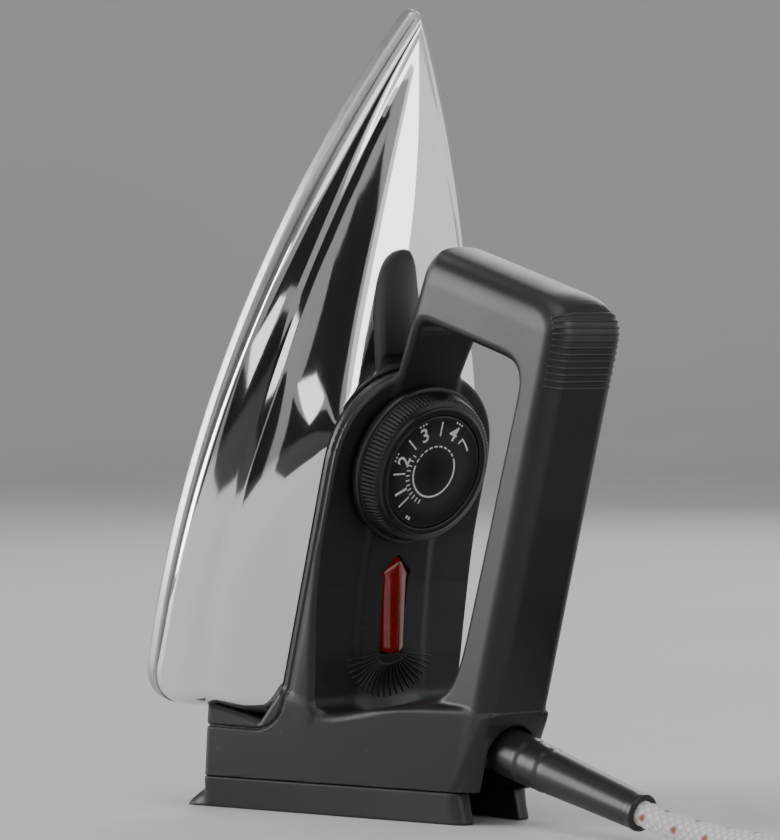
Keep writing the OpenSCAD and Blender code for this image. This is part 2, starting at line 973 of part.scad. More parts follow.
module cord_tie() {
    color([0.1, 0.1, 0.1])
        translate([coil_centre[0], coil_centre[1], 0])
        rotate([0, 0, 335])
        translate([coil_r, 5, 0])
        rotate([90, 0, 0])
        linear_extrude(10)
        difference() {
            translate([-coil_band / 2 - 2, 0])
                square([coil_band + 4, coil_h + 1.6]);
            translate([-coil_band / 2 - 0.8, -1])
                square([coil_band + 1.6, coil_h + 1.3]);
        }
}

module cord_tail() {
    color("whitesmoke")
        tube(tail_route, cord_r);
}

module on_plug() {
    translate(plug_mouth)
        rotate([0, -90, 0])
        children();
}

module plug_body() {
    color([0.08, 0.08, 0.08]) on_plug() difference() {
        union() {
            rotate_extrude()
                polygon([[0, 0.5], [5, 0.5], [5.6, plug_relief_len], [0, plug_relief_len]]);
            translate([0, 0, plug_relief_len - eps])
                plug_grip();
        }
        translate([0, 0, -1])
            cylinder(r = cord_r, h = 13);
        for (p = pin_places)
            translate([p[0], p[1], plug_face - pin_root])
                cylinder(r = p[2] - pin_waist, h = pin_root + 1);
    }
}

// Pins: across, up, radius and free length.
pin_places = [[-4, -9.53, 2.54, 14.9], [-4, 9.53, 2.54, 14.9], [18.23, 0, 3.53, 20.6]];
pin_root = 12;
pin_waist = 0.4;
plug_face = plug_relief_len + plug_len;
module plug_grip() {
    hull() {
        translate([-2, 0, 0])
            cylinder(r = 7.5, h = 1, $fn = 32);
        translate([0, 0, plug_len - 14])
            plug_front(14);
    }
}

module plug_front(h) {
    hull()
        for (p = [[-4, -9.7], [-4, 9.7], [18.8, 0]])
            translate([p[0], p[1], 0])
                cylinder(r = 5, h = h, $fn = 32);
}

module plug_pins() {
    color("goldenrod") on_plug()
        for (p = pin_places)
            translate([p[0], p[1], plug_face]) {
                cylinder(r = p[2], h = p[3]);
                translate([0, 0, -pin_root])
                    cylinder(r = p[2] - pin_waist, h = pin_root + eps);
            }
}

soleplate();
heating_element();
element_terminals();
cover_plate();
shell_studs();
stud_nuts();
chrome_shell();
saddle_gasket();
handle_body();
handle_screws();
heel_cap();
heel_cap_screws();
thermostat_bracket();
thermostat_insulators();
thermostat_bimetal();
thermostat_fixed_blade();
thermostat_moving_blade();
thermostat_rivet();
thermostat_bush();
thermostat_spindle();
dial_knob();
dial_cap();
pilot_lens();
pilot_lamp();
lamp_holder();
lamp_resistor();
thermal_fuse();
terminal_block();
terminal_screws();
live_lead();
neutral_lead();
earth_lead();
cord_clamp();
cord_clamp_screws();
cord_cores();
cord_inner();
cord_pivot();
cord_guard();
cord_in_guard();
cord_tube();
cord_coil();
cord_tie();
cord_tail();
plug_body();
plug_pins();
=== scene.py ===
"""Looks of a dry clothes iron that stands on its heel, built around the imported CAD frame.

Shapes are worked out in millimetres, in the pose of use (u forward, v to the left, w up
from the datum plane), and stand() takes them to the row frame in metres.
"""
import math

import bpy
import numpy as np
import openvdb
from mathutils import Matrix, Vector


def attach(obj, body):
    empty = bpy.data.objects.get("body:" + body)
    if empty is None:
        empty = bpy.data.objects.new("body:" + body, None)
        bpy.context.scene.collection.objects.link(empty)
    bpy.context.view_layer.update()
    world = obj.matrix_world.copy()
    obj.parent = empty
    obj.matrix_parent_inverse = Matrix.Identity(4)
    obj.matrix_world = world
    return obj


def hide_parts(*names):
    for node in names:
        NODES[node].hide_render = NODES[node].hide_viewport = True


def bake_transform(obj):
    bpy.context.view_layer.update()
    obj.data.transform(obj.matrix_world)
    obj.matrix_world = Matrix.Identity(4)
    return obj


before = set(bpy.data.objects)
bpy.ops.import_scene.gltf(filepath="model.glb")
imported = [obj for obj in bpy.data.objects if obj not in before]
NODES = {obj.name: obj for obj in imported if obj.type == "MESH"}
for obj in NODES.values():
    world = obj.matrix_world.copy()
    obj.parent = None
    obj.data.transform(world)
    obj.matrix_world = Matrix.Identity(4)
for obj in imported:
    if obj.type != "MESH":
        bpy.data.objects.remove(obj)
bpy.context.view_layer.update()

LEAN = math.radians(16)
SIN, COS = math.sin(LEAN), math.cos(LEAN)
CENTRE_X, HEEL_DROP = 69.9, 31.3
MM = 0.001


def stand(p):
    """In-use millimetres to the standing row frame in metres."""
    p = np.asarray(p, float)
    u, v, w = p[..., 0], p[..., 1], p[..., 2]
    x = SIN * u + COS * w - CENTRE_X
    z = COS * u - SIN * w + HEEL_DROP
    return np.stack([x, -v, z], -1) * MM


def on_heel(p):
    """Millimetres over the heel's footprint to the row frame in metres."""
    return (np.asarray(p, float) - [CENTRE_X, 0, 0]) * MM


def row_mm(p):
    return np.asarray(p, float) * MM


# ---- Camera -------------------------------------------------------------------------

TARGET = Vector((-0.0178, 0, 0.1104))
BACK = Vector((0.7636, -0.6453, 0.0227)).normalized()
camera_data = bpy.data.cameras.new("camera")
camera = bpy.data.objects.new("camera", camera_data)
bpy.context.scene.collection.objects.link(camera)
camera.location = TARGET + 1.2 * BACK
camera.rotation_mode = "QUATERNION"
camera.rotation_quaternion = (-BACK).to_track_quat("-Z", "Y")
camera_data.lens = 181.3
camera_data.sensor_width = 36
camera_data.clip_start = 0.05
camera_data.clip_end = 20
bpy.context.scene.camera = camera


# ---- Mesh helpers -------------------------------------------------------------------

def piece(name, verts, faces, material, body="housing", normals=None, smooth=True):
    """A mesh object in row metres that rides on a body."""
    mesh = bpy.data.meshes.new(name)
    mesh.from_pydata([tuple(p) for p in verts], [], [tuple(f) for f in faces])
    mesh.materials.append(material)
    mesh.polygons.foreach_set("use_smooth", [smooth] * len(mesh.polygons))
    mesh.update()
    if normals is not None:
        mesh.normals_split_custom_set_from_vertices([tuple(n) for n in normals])
    elif smooth:
        mesh.set_sharp_from_angle(angle=math.radians(34))
    obj = bpy.data.objects.new(name, mesh)
    bpy.context.scene.collection.objects.link(obj)
    if body:
        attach(obj, body)
    return obj


def grid_faces(rows, cols, wrap_rows=False, wrap_cols=True):
    """Quads of a grid of points numbered row by row."""
    out = []
    for j in range(rows if wrap_rows else rows - 1):
        for i in range(cols if wrap_cols else cols - 1):
            a, b = j * cols, ((j + 1) % rows) * cols
            k = (i + 1) % cols
            out.append((a + i, b + i, b + k, a + k))
    return out


def capped_faces(rows, cols):
    """Quads of a stack of rings, closed at both ends."""
    faces = grid_faces(rows, cols)
    faces.append(tuple(range(cols - 1, -1, -1)))
    faces.append(tuple((rows - 1) * cols + i for i in range(cols)))
    return faces


def joined(parts):
    """One list of verts and one of faces from several parts."""
    verts, faces = [], []
    for part_verts, part_faces in parts:
        faces += [tuple(i + len(verts) for i in f) for f in part_faces]
        verts += [tuple(q) for q in part_verts]
    return verts, faces


def outward(verts, faces):
    """Turns the faces round if they enclose a negative volume."""
    v = np.asarray(verts, float)
    total = 0.0
    for f in faces:
        for k in range(1, len(f) - 1):
            total += np.dot(v[f[0]], np.cross(v[f[k]], v[f[k + 1]]))
    return faces if total > 0 else [tuple(reversed(f)) for f in faces]


def turned(profile, segments, centre=(0, 0), relief=None):
    """Rings of points of a profile (radius, height) turned round an upright axis."""
    angles = np.arange(segments) * 2 * math.pi / segments
    rings = []
    for r, h in profile:
        rr = r if relief is None else r + relief(r, h, angles)
        rings.append(np.stack([centre[0] + rr * np.cos(angles), centre[1] + rr * np.sin(angles),
                               np.full(segments, float(h))], -1))
    return np.concatenate(rings)


def curve_point(a, b, c, t):
    """A point of the quadratic curve from a to c that b pulls."""
    return (1 - t) ** 2 * a + 2 * t * (1 - t) * b + t * t * c


def rounded_corner(a, b, c, radius, steps):
    """Points of the curve that rounds the corner b between its neighbours a and c."""
    longest = 0.45
    to_a, to_c = np.linalg.norm(a - b), np.linalg.norm(c - b)
    start = b + (a - b) / to_a * min(radius, longest * to_a)
    end = b + (c - b) / to_c * min(radius, longest * to_c)
    return [curve_point(start, b, end, k / steps) for k in range(steps + 1)]


def rounded_profile(points, radius, steps=4):
    """An open profile whose inner corners are rounded."""
    p = [np.asarray(q, float) for q in points]
    out = [p[0]]
    for a, b, c in zip(p, p[1:], p[2:]):
        out += rounded_corner(a, b, c, radius, steps)
    return out + [p[-1]]


def rounded_polygon(points, radii, steps=5):
    """A closed outline whose corners are rounded, all alike or each by its own radius."""
    p = [np.asarray(q, float) for q in points]
    out = []
    for i, r in enumerate(np.broadcast_to(radii, len(p))):
        out += rounded_corner(p[i - 1], p[i], p[(i + 1) % len(p)], r, steps)
    return out


def raised(outline, w):
    """A plan outline lifted to a height, or to a height at each point."""
    return np.column_stack([outline, np.broadcast_to(w, len(outline))])


# ---- Distance fields ----------------------------------------------------------------

def path_distance(points, x, y):
    """Distance to an open line of points."""
    pts = np.asarray(points, float)
    best = np.inf
    for a, b in zip(pts, pts[1:]):
        e = b - a
        if e @ e < 1e-12:
            continue
        wx, wy = x - a[0], y - a[1]
        t = np.clip((wx * e[0] + wy * e[1]) / float(e @ e), 0, 1)
        best = np.minimum(best, (wx - e[0] * t) ** 2 + (wy - e[1] * t) ** 2)
    return np.sqrt(best)


def polygon_field(points, x, y):
    """Signed distance to a closed outline, negative inside."""
    pts = np.asarray(points, float)
    inside = np.zeros(np.broadcast(x, y).shape, bool)
    for a, b in zip(pts, np.roll(pts, -1, 0)):
        if abs(b[1] - a[1]) > 1e-9:
            edge_x = (b[0] - a[0]) * (y - a[1]) / (b[1] - a[1]) + a[0]
            inside = inside ^ (((a[1] > y) != (b[1] > y)) & (x < edge_x))
    return np.where(inside, -1, 1) * path_distance(np.vstack([pts, pts[:1]]), x, y)


def both(a, b, r):
    """Intersection of two fields with an edge of radius r."""
    outer = np.hypot(np.maximum(a + r, 0), np.maximum(b + r, 0))
    return np.minimum(np.maximum(a, b), -r) + outer


def either(a, b, r):
    """Union of two fields with a fillet of radius r."""
    return -both(-a, -b, r)


def cut(a, b, r):
    return both(a, -b, r)


def slope(field, points, h):
    """Gradient of a field at points, by differences over a half-step h."""
    out = []
    for k in range(3):
        d = np.zeros(3)
        d[k] = h
        out.append(field(*(points + d).T) - field(*(points - d).T))
    return np.stack(out, -1) / (2 * h)


def lengths(rows):
    return np.linalg.norm(rows, axis=1)[:, None]


def field_mesh(field, low, high, step):
    """Quads of the zero surface of a field, with exact points and normals."""
    axes = [np.arange(a, b + step, step) for a, b in zip(low, high)]
    shape = tuple(len(a) for a in axes)
    values = field(axes[0][:, None, None], axes[1][None, :, None], axes[2][None, None, :])
    limit = 3 * step  # the grid holds distances up to here
    values = np.clip(np.broadcast_to(values, shape), -limit, limit).astype(np.float32)
    grid = openvdb.FloatGrid(limit)
    grid.copyFromArray(np.ascontiguousarray(values))
    points, quads = grid.convertToQuads(0.0)
    pts = np.asarray(points, float) * step + np.asarray(low, float)
    quads = np.asarray(quads, int)
    half_step = 0.12
    for _ in range(3):
        g = slope(field, pts, half_step)
        move = field(*pts.T) / np.maximum((g ** 2).sum(1), 0.05)
        pts = pts - g * np.clip(move, -step * 0.5, step * 0.5)[:, None]
    g = slope(field, pts, half_step)
    normals = g / np.maximum(lengths(g), 1e-9)
    a, b, c = pts[quads[:, 0]], pts[quads[:, 1]], pts[quads[:, 2]]
    facing = np.cross(b - a, c - a)
    if (facing * normals[quads[:, 0]]).sum() < 0:
        quads = quads[:, ::-1]
    return pts, quads, normals


def turn(normals, place):
    """Normals carried to the row frame by a placing function."""
    origin = place(np.zeros((1, 3)))
    return (place(normals) - origin) / MM


def field_piece(name, field, low, high, step, material, body="housing", place=stand):
    pts, quads, normals = field_mesh(field, low, high, step)
    return piece(name, place(pts), quads, material, body, normals=turn(normals, place))


# ---- Material helpers ---------------------------------------------------------------

class Nodes:
    """A short way to write a material's node tree."""

    def __init__(self, name):
        self.material = bpy.data.materials.new(name)
        self.material.use_nodes = True
        self.tree = self.material.node_tree
        self.shader = next(n for n in self.tree.nodes if n.type == "BSDF_PRINCIPLED")
        self.coords = self.add("ShaderNodeTexCoord")

    def add(self, kind, **inputs):
        node = self.tree.nodes.new(kind)
        for key, value in inputs.items():
            if key.startswith("_"):
                setattr(node, key[1:], value)
            else:
                self.put(node, key.replace("_", " "), value)
        return node

    def put(self, node, socket, value):
        target = node.inputs[socket] if isinstance(socket, str) else node.inputs[int(socket)]
        if isinstance(value, bpy.types.NodeSocket):
            self.tree.links.new(value, target)
        else:
            target.default_value = value

    def set(self, **values):
        for key, value in values.items():
            self.put(self.shader, key.replace("_", " "), value)
        return self

    def noise(self, scale, detail=4.0, rough=0.55, stretch=None):
        vector = self.coords.outputs["Object"]
        if stretch:
            mapping = self.add("ShaderNodeMapping", Vector=vector, Scale=stretch)
            vector = mapping.outputs["Vector"]
        node = self.add("ShaderNodeTexNoise", Vector=vector, Scale=scale, Detail=detail,
                        Roughness=rough)
        return node.outputs["Fac"]

    def span(self, value, low, high, start=0.3, end=0.7):
        node = self.add("ShaderNodeMapRange", Value=value, From_Min=start, From_Max=end,
                        To_Min=low, To_Max=high)
        return node.outputs["Result"]

    def blend(self, factor, a, b):
        node = self.tree.nodes.new("ShaderNodeMix")
        node.data_type = "RGBA"
        self.put(node, 0, factor)
        self.put(node, 6, a if isinstance(a, bpy.types.NodeSocket) else (*a, 1))
        self.put(node, 7, b if isinstance(b, bpy.types.NodeSocket) else (*b, 1))
        return node.outputs[2]

    def math(self, operation, a, b=0.0):
        node = self.tree.nodes.new("ShaderNodeMath")
        node.operation = operation
        self.put(node, 0, a)
        self.put(node, 1, b)
        return node.outputs[0]

    def bump(self, height, strength, distance):
        node = self.add("ShaderNodeBump", Strength=strength, Distance=distance, Height=height)
        self.put(self.shader, "Normal", node.outputs["Normal"])
        return self

    def edges(self, start=0.52, end=0.6):
        """Near 1 on outward edges, where plastic and metal wear."""
        geometry = self.add("ShaderNodeNewGeometry")
        return self.span(geometry.outputs["Pointiness"], 0.0, 1.0, start, end)


def plastic(name, colour, worn, rough, grain=1600.0, depth=0.00004, wear=0.35):
    """Moulded plastic: fine spark-eroded grain, cloudy gloss and paler, smoother edges."""
    n = Nodes(name)
    cloud = n.noise(28.0, 5.0)
    fine = n.noise(grain, 3.0, 0.6)
    patch = n.blend(n.span(cloud, 0.0, 1.0), colour, tuple(c * 1.25 + 0.002 for c in colour))
    edge = n.math("MULTIPLY", n.edges(), wear)
    n.set(Base_Color=n.blend(edge, patch, worn))
    base = n.span(cloud, rough - 0.03, rough + 0.04)
    n.set(Roughness=n.math("ADD", base, n.span(fine, -0.02, 0.03)))
    return n.bump(fine, 0.5, depth).material


def metal(name, colour, rough, stretch=(1, 1, 1)):
    """Bare or plated metal: drawn or ground lines, with a cloudy finish."""
    n = Nodes(name)
    lines = n.noise(900.0, 3.0, 0.6, stretch)
    cloud = n.noise(35.0, 4.0)
    dark = tuple(c * 0.82 for c in colour)
    n.set(Base_Color=n.blend(n.span(cloud, 0.0, 0.7), colour, dark), Metallic=1.0)
    grain = n.span(lines, rough - 0.06, rough + 0.06)
    n.set(Roughness=n.math("ADD", grain, n.span(cloud, -0.03, 0.03)))
    return n.bump(lines, 0.4, 0.00002).material


def chrome_material():
    """Mirror chrome with a trace of polishing haze and faint smears."""
    n = Nodes("shell_chrome")
    smear = n.noise(22.0, 6.0, 0.6, (1, 1, 0.35))
    haze = n.noise(420.0, 3.0, 0.6)
    n.set(Metallic=1.0)
    n.set(Base_Color=n.blend(n.span(smear, 0.0, 1.0), (0.93, 0.93, 0.94), (0.87, 0.875, 0.885)))
    n.set(Roughness=n.math("ADD", n.span(smear, 0.025, 0.07), n.span(haze, 0.0, 0.015)))
    return n.bump(smear, 0.12, 0.0002).material


def sole_material():
    """Ground aluminium with lengthwise lines and a few darker heat stains."""
    n = Nodes("sole_aluminium")
    lines = n.noise(700.0, 4.0, 0.65, (1.0, 1.0, 0.02))
    stain = n.noise(16.0, 5.0)
    edge = n.edges()
    base = n.blend(n.span(stain, 0.0, 1.0), (0.56, 0.56, 0.57), (0.46, 0.455, 0.45))
    n.set(Metallic=1.0, Base_Color=n.blend(n.math("MULTIPLY", edge, 0.5), base, (0.8, 0.8, 0.81)))
    n.set(Roughness=n.math("ADD", n.span(lines, 0.26, 0.4), n.span(stain, -0.03, 0.05)))
    return n.bump(lines, 0.35, 0.00003).material


def braid_material():
    """Cotton braid: two crossing strands in relief, pale with a few red-brown flecks and painted
    shade in the gaps between strands.
    """
    n = Nodes("cord_braid")
    uv = n.add("ShaderNodeSeparateXYZ", Vector=n.coords.outputs["UV"])
    along, around = uv.outputs[0], uv.outputs[1]

    def helix(pitch, turns):
        """Sine of a helical phase: waves per metre along the cord, and turns round it."""
        phase = n.math("ADD", n.math("MULTIPLY", along, pitch), n.math("MULTIPLY", around, turns))
        return n.math("SINE", n.math("MULTIPLY", phase, 2 * math.pi))

    strands = [n.span(helix(330.0, turns), 0.0, 1.0, -1.0, 1.0) for turns in (8.0, -8.0)]
    weave = n.math("MULTIPLY", *strands)
    fibre = n.noise(2600.0, 4.0, 0.6)
    dirt = n.noise(60.0, 5.0)
    pale = n.blend(n.span(dirt, 0.0, 1.0), (0.86, 0.84, 0.80), (0.74, 0.70, 0.65))
    # Painted shade: the colour darkens towards grey-brown where the weave is low, between the
    # strands.
    pale = n.blend(n.span(weave, 0.55, 0.0, 0.0, 0.6), pale, (0.42, 0.38, 0.34))
    fleck = n.math("MULTIPLY", n.span(helix(82.5, 2.0), 0.0, 1.0, 0.55, 0.95),
                   n.span(helix(82.5, -2.0), 0.0, 1.0, 0.35, 0.9))
    n.set(Base_Color=n.blend(fleck, pale, (0.30, 0.10, 0.07)))
    n.set(Roughness=n.span(fibre, 0.75, 0.95), Sheen_Weight=0.4, Sheen_Roughness=0.5)
    height = n.math("ADD", weave, n.math("MULTIPLY", fibre, 0.25))
    return n.bump(height, 0.9, 0.0003).material


def lens_material():
    """Clear red plastic over a lamp, a little cloudy inside, with a faint painted glow."""
    n = Nodes("lens_red")
    cloud = n.noise(180.0, 4.0)
    n.set(Base_Color=n.blend(n.span(cloud, 0.0, 1.0), (0.50, 0.012, 0.010), (0.34, 0.008, 0.007)))
    n.set(Roughness=n.span(cloud, 0.04, 0.12))
    n.set(Transmission_Weight=0.55, IOR=1.5, Coat_Weight=0.6, Coat_Roughness=0.04)
    # Painted glow: the lens itself gives off a faint red-orange light; the lamp under it is not
    # lit.
    n.set(Emission_Color=(0.9, 0.05, 0.02, 1), Emission_Strength=0.015)
    return n.material


BLACK = plastic("handle_black", (0.011, 0.011, 0.0115), (0.05, 0.05, 0.052), 0.40)
HEEL = plastic("heel_black", (0.014, 0.014, 0.015), (0.06, 0.06, 0.064), 0.42)
DIAL = plastic("dial_black", (0.008, 0.008, 0.0085), (0.07, 0.07, 0.075), 0.34, wear=0.5)
RUBBER = plastic("guard_rubber", (0.013, 0.013, 0.014), (0.05, 0.05, 0.05), 0.33, grain=900.0,
                 depth=0.00003, wear=0.2)
PLUG = plastic("plug_black", (0.02, 0.02, 0.021), (0.06, 0.06, 0.06), 0.38)
GASKET = plastic("gasket_black", (0.02, 0.02, 0.02), (0.03, 0.03, 0.03), 0.7, grain=700.0)
CERAMIC = plastic("ceramic_ivory", (0.78, 0.74, 0.62), (0.85, 0.82, 0.72), 0.22, grain=500.0)
PRINT = plastic("dial_print", (0.78, 0.78, 0.76), (0.8, 0.8, 0.8), 0.5, grain=3000.0,
                depth=0.00001, wear=0.1)
CHROME = chrome_material()
SOLE = sole_material()
BRAID = braid_material()
LENS = lens_material()
BRASS = metal("terminal_brass", (0.80, 0.62, 0.30), 0.28, (1, 1, 0.1))
ZINC = metal("zinc_steel", (0.66, 0.67, 0.69), 0.36)
SHEATH = metal("element_sheath", (0.36, 0.34, 0.32), 0.55)
BIMETAL = metal("bimetal_strip", (0.58, 0.52, 0.44), 0.4, (0.1, 1, 1))
BRONZE = metal("blade_bronze", (0.74, 0.48, 0.29), 0.35, (0.1, 1, 1))
RESISTOR = plastic("resistor_tan", (0.62, 0.48, 0.32), (0.7, 0.56, 0.4), 0.5)
BROWN = plastic("lead_brown", (0.28, 0.14, 0.06), (0.3, 0.16, 0.08), 0.45)
BLUE = plastic("lead_blue", (0.06, 0.18, 0.45), (0.1, 0.22, 0.5), 0.45)
GREEN = plastic("lead_green", (0.28, 0.48, 0.08), (0.4, 0.55, 0.15), 0.45)
TAN = plastic("core_tan", (0.70, 0.58, 0.38), (0.75, 0.62, 0.42), 0.5)


def lamp_glass():
    n = Nodes("lamp_glass")
    cloud = n.noise(300.0, 3.0)
    n.set(Base_Color=n.blend(n.span(cloud, 0.0, 1.0), (1.0, 0.9, 0.82), (0.95, 0.78, 0.68)))
    n.set(Roughness=n.span(cloud, 0.02, 0.08), Transmission_Weight=0.9, IOR=1.48)
    return n.material


GLASS = lamp_glass()
INNER = [
    (ZINC, ["cover_plate", "shell_studs", "stud_nuts", "handle_screws", "heel_cap_screws",
            "thermostat_bracket", "thermostat_rivet", "thermostat_spindle", "lamp_holder",
            "cord_clamp_screws"]),
    (BRASS, ["element_terminals", "thermostat_bush", "terminal_screws"]),
    (CERAMIC, ["thermostat_insulators", "thermal_fuse", "terminal_block"]),
    (BRONZE, ["thermostat_fixed_blade", "thermostat_moving_blade"]),
    (BRAID, ["cord_inner", "cord_in_guard"]),
    (SHEATH, ["heating_element"]), (GASKET, ["saddle_gasket"]), (BIMETAL, ["thermostat_bimetal"]),
    (GLASS, ["pilot_lamp"]), (RESISTOR, ["lamp_resistor"]), (BROWN, ["live_lead"]),
    (BLUE, ["neutral_lead"]), (GREEN, ["earth_lead"]), (BLACK, ["cord_clamp"]),
    (TAN, ["cord_cores"]), (RUBBER, ["cord_pivot"])]
for look, node_names in INNER:
    for node_name in node_names:
        NODES[node_name].data.materials.clear()
        NODES[node_name].data.materials.append(look)


# ---- Cord ---------------------------------------------------------------------------

CORD_R = 3.5
COIL_AT, COIL_R = np.array([190.0, 24.0]), 35.0
CORD_ROUTE = [(86.5, 0, 7.7), (94.5, 0, 6), (102.5, 0, 4.8), (110.5, -0.1, 4), (118.5, -0.6, 3.6),
              (130, -2.2, 3.6), (141.5, -4.4, 3.6), (152, -6.7, 3.6), (162, -8.7, 3.6),
              (172, -10.2, 3.6), (181, -11, 3.6)]
TAIL_ROUTE = [(213.8, 58.7, 3.6), (207, 63.2, 3.6), (200.2, 66.6, 3.8), (192.5, 68.9, 4.5),
              (186, 70.3, 5.7), (179.5, 71.3, 7.2), (173.5, 71.8, 8.5), (168, 72, 9.2)]
COIL_START = (190.0, -11.2)
WOVEN = 75.0  # the stretch near the guard, where the braid is raised in the mesh


def travelled(line):
    """Length along a line up to each of its points."""
    return np.concatenate([[0], np.cumsum(np.linalg.norm(np.diff(line, axis=0), axis=1))])


def points_at(line, at):
    """Points of a line at lengths along it."""
    s = travelled(line)
    return np.stack([np.interp(at, s, line[:, k]) for k in range(3)], -1)


def smooth_line(points, spacing):
    """A Catmull-Rom line through the points, at even spacing."""
    p = np.asarray(points, float)
    p = np.vstack([2 * p[0] - p[1], p, 2 * p[-1] - p[-2]])
    dense = []
    for i in range(1, len(p) - 2):
        for t in np.linspace(0, 1, 24, endpoint=False):
            a, b, c, d = p[i - 1], p[i], p[i + 1], p[i + 2]
            dense.append(0.5 * (2 * b + (c - a) * t + (2 * a - 5 * b + 4 * c - d) * t * t
                                + (3 * b - a - 3 * c + d) * t ** 3))
    dense.append(p[-2])
    dense = np.array(dense)
    total = travelled(dense)[-1]
    return points_at(dense, np.linspace(0, total, max(2, int(round(total / spacing)) + 1)))


def smoothstep(t):
    t = np.clip(t, 0, 1)
    return t * t * (3 - 2 * t)


# Where each turn of the coil lies: radius and height. The cord moves from one place to
# the next within a fifth of each turn, which starts at COIL_SHIFT.
COIL_PLACES = [(35.2, 3.5), (28, 3.5), (31.5, 9.6), (28, 15.7), (31.5, 21.8), (35, 15.7),
               (38.5, 9.6), (42.08, 3.5)]
COIL_SHIFT, SHIFT_TURN = 0.45, 0.2


def coil_line():
    """The wound turns, which start and end where the two free stretches join them."""
    first = np.array(COIL_START) - COIL_AT
    last = np.array(TAIL_ROUTE[0][:2]) - COIL_AT
    start = math.atan2(first[1], first[0])
    end = math.atan2(last[1], last[0])
    turns = len(COIL_PLACES) - 1 + (end - start) / (2 * math.pi)
    phi = np.linspace(0, turns, 1600)
    (r, z), places = COIL_PLACES[0], zip(COIL_PLACES, COIL_PLACES[1:])
    for k, ((old_r, old_z), (new_r, new_z)) in enumerate(places):
        t = smoothstep((phi - COIL_SHIFT - k) / SHIFT_TURN)
        r = r + (new_r - old_r) * t
        z = z + (new_z - old_z) * t
    angle = start + 2 * math.pi * phi
    return np.stack([COIL_AT[0] + r * np.cos(angle), COIL_AT[1] + r * np.sin(angle), z], -1)


def spread_apart(line, gap, fixed, passes=60):
    """Pushes turns that touch away from each other, and keeps the line smooth."""
    p = line.copy()
    n = len(p)
    far = np.abs(np.arange(n)[:, None] - np.arange(n)[None, :]) > 8
    for _ in range(passes):
        d = p[:, None, :] - p[None, :, :]
        dist = np.sqrt((d ** 2).sum(2)) + 1e-9
        push = np.where(far & (dist < gap), (gap - dist) / dist * 0.5, 0)
        move = (d * push[:, :, None]).sum(1) * 0.6
        move[fixed] = 0
        p = p + move
        mid = 0.5 * (p[:-2] + p[2:])
        step = (mid - p[1:-1]) * 0.25
        step[fixed[1:-1]] = 0
        p[1:-1] += step
        p[:, 2] = np.maximum(p[:, 2], CORD_R)
    return p


def tube_rings(line, radius):
    """Rings of points round a line, with no twist; radius has a row for each ring."""
    t = np.gradient(line, axis=0)
    t /= lengths(t)
    side = np.cross([0, 0, 1], t)
    side /= lengths(side)
    up = np.cross(t, side)
    a = np.arange(radius.shape[1])[None, :, None] * 2 * math.pi / radius.shape[1]
    return line[:, None, :] + radius[:, :, None] * (np.cos(a) * side[:, None, :]
                                                    + np.sin(a) * up[:, None, :])


def give_uv(obj, along, around):
    """UV map from numbers at the vertices: the seam's last column goes round to 1."""
    layer = obj.data.uv_layers.new(name="UVMap")
    for poly in obj.data.polygons:
        a = [around[v] for v in poly.vertices]
        wraps = max(a) - min(a) > 0.5
        for loop, v in zip(poly.loop_indices, poly.vertices):
            turn_on = 1.0 if wraps and around[v] < 0.5 else 0.0
            layer.data[loop].uv = (along[v], around[v] + turn_on)


def make_cord():
    """One cord from the strain relief through its coil to the plug."""
    route = np.vstack([CORD_ROUTE, coil_line(), TAIL_ROUTE[1:]])
    line = smooth_line(route, 2.0)
    s = travelled(line)
    fixed = (s < 60) | (s > s[-1] - 45)
    line = spread_apart(line, 2 * CORD_R + 0.02, fixed)
    end = travelled(line)[-1]
    at = np.concatenate([np.arange(0, WOVEN, 0.4), np.arange(WOVEN, end - 1, 2.2), [end]])
    path = points_at(line, at)
    for _ in range(3):
        path[1:-1] = 0.25 * path[:-2] + 0.5 * path[1:-1] + 0.25 * path[2:]
    sides = 48
    around = np.arange(sides) / sides
    a, b = (np.sin(2 * math.pi * (0.33 * at[:, None] + turns * around[None, :]))
            for turns in (8, -8))
    weave = (0.5 + 0.5 * a) * (0.5 + 0.5 * b)
    relief = np.where(at[:, None] < WOVEN, 0.22 * (weave - 0.25), 0.0)
    rings = tube_rings(path, CORD_R - 0.03 + relief)
    cord = piece("cord", row_mm(rings.reshape(-1, 3)), capped_faces(len(path), sides), BRAID,
                 body=None)
    give_uv(cord, np.repeat(at * MM, sides), np.tile(around, len(path)))
    return cord, path


cord, cord_path = make_cord()
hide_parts("cord_tube", "cord_coil", "cord_tail")
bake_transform(cord)


# ---- Plug and tie -------------------------------------------------------------------

PLUG_MOUTH = np.array([168, 72, 9.2])
PLUG_FACE = 50
PINS = [(-4, -9.53, 2.54, 14.9), (-4, 9.53, 2.54, 14.9), (18.23, 0, 3.53, 20.6)]


def on_plug(p):
    """Plug millimetres (up, across, along) to the row frame: the plug points to -X."""
    p = np.asarray(p, float)
    return row_mm(np.stack([PLUG_MOUTH[0] - p[..., 2], PLUG_MOUTH[1] + p[..., 1],
                            PLUG_MOUTH[2] + p[..., 0]], -1))


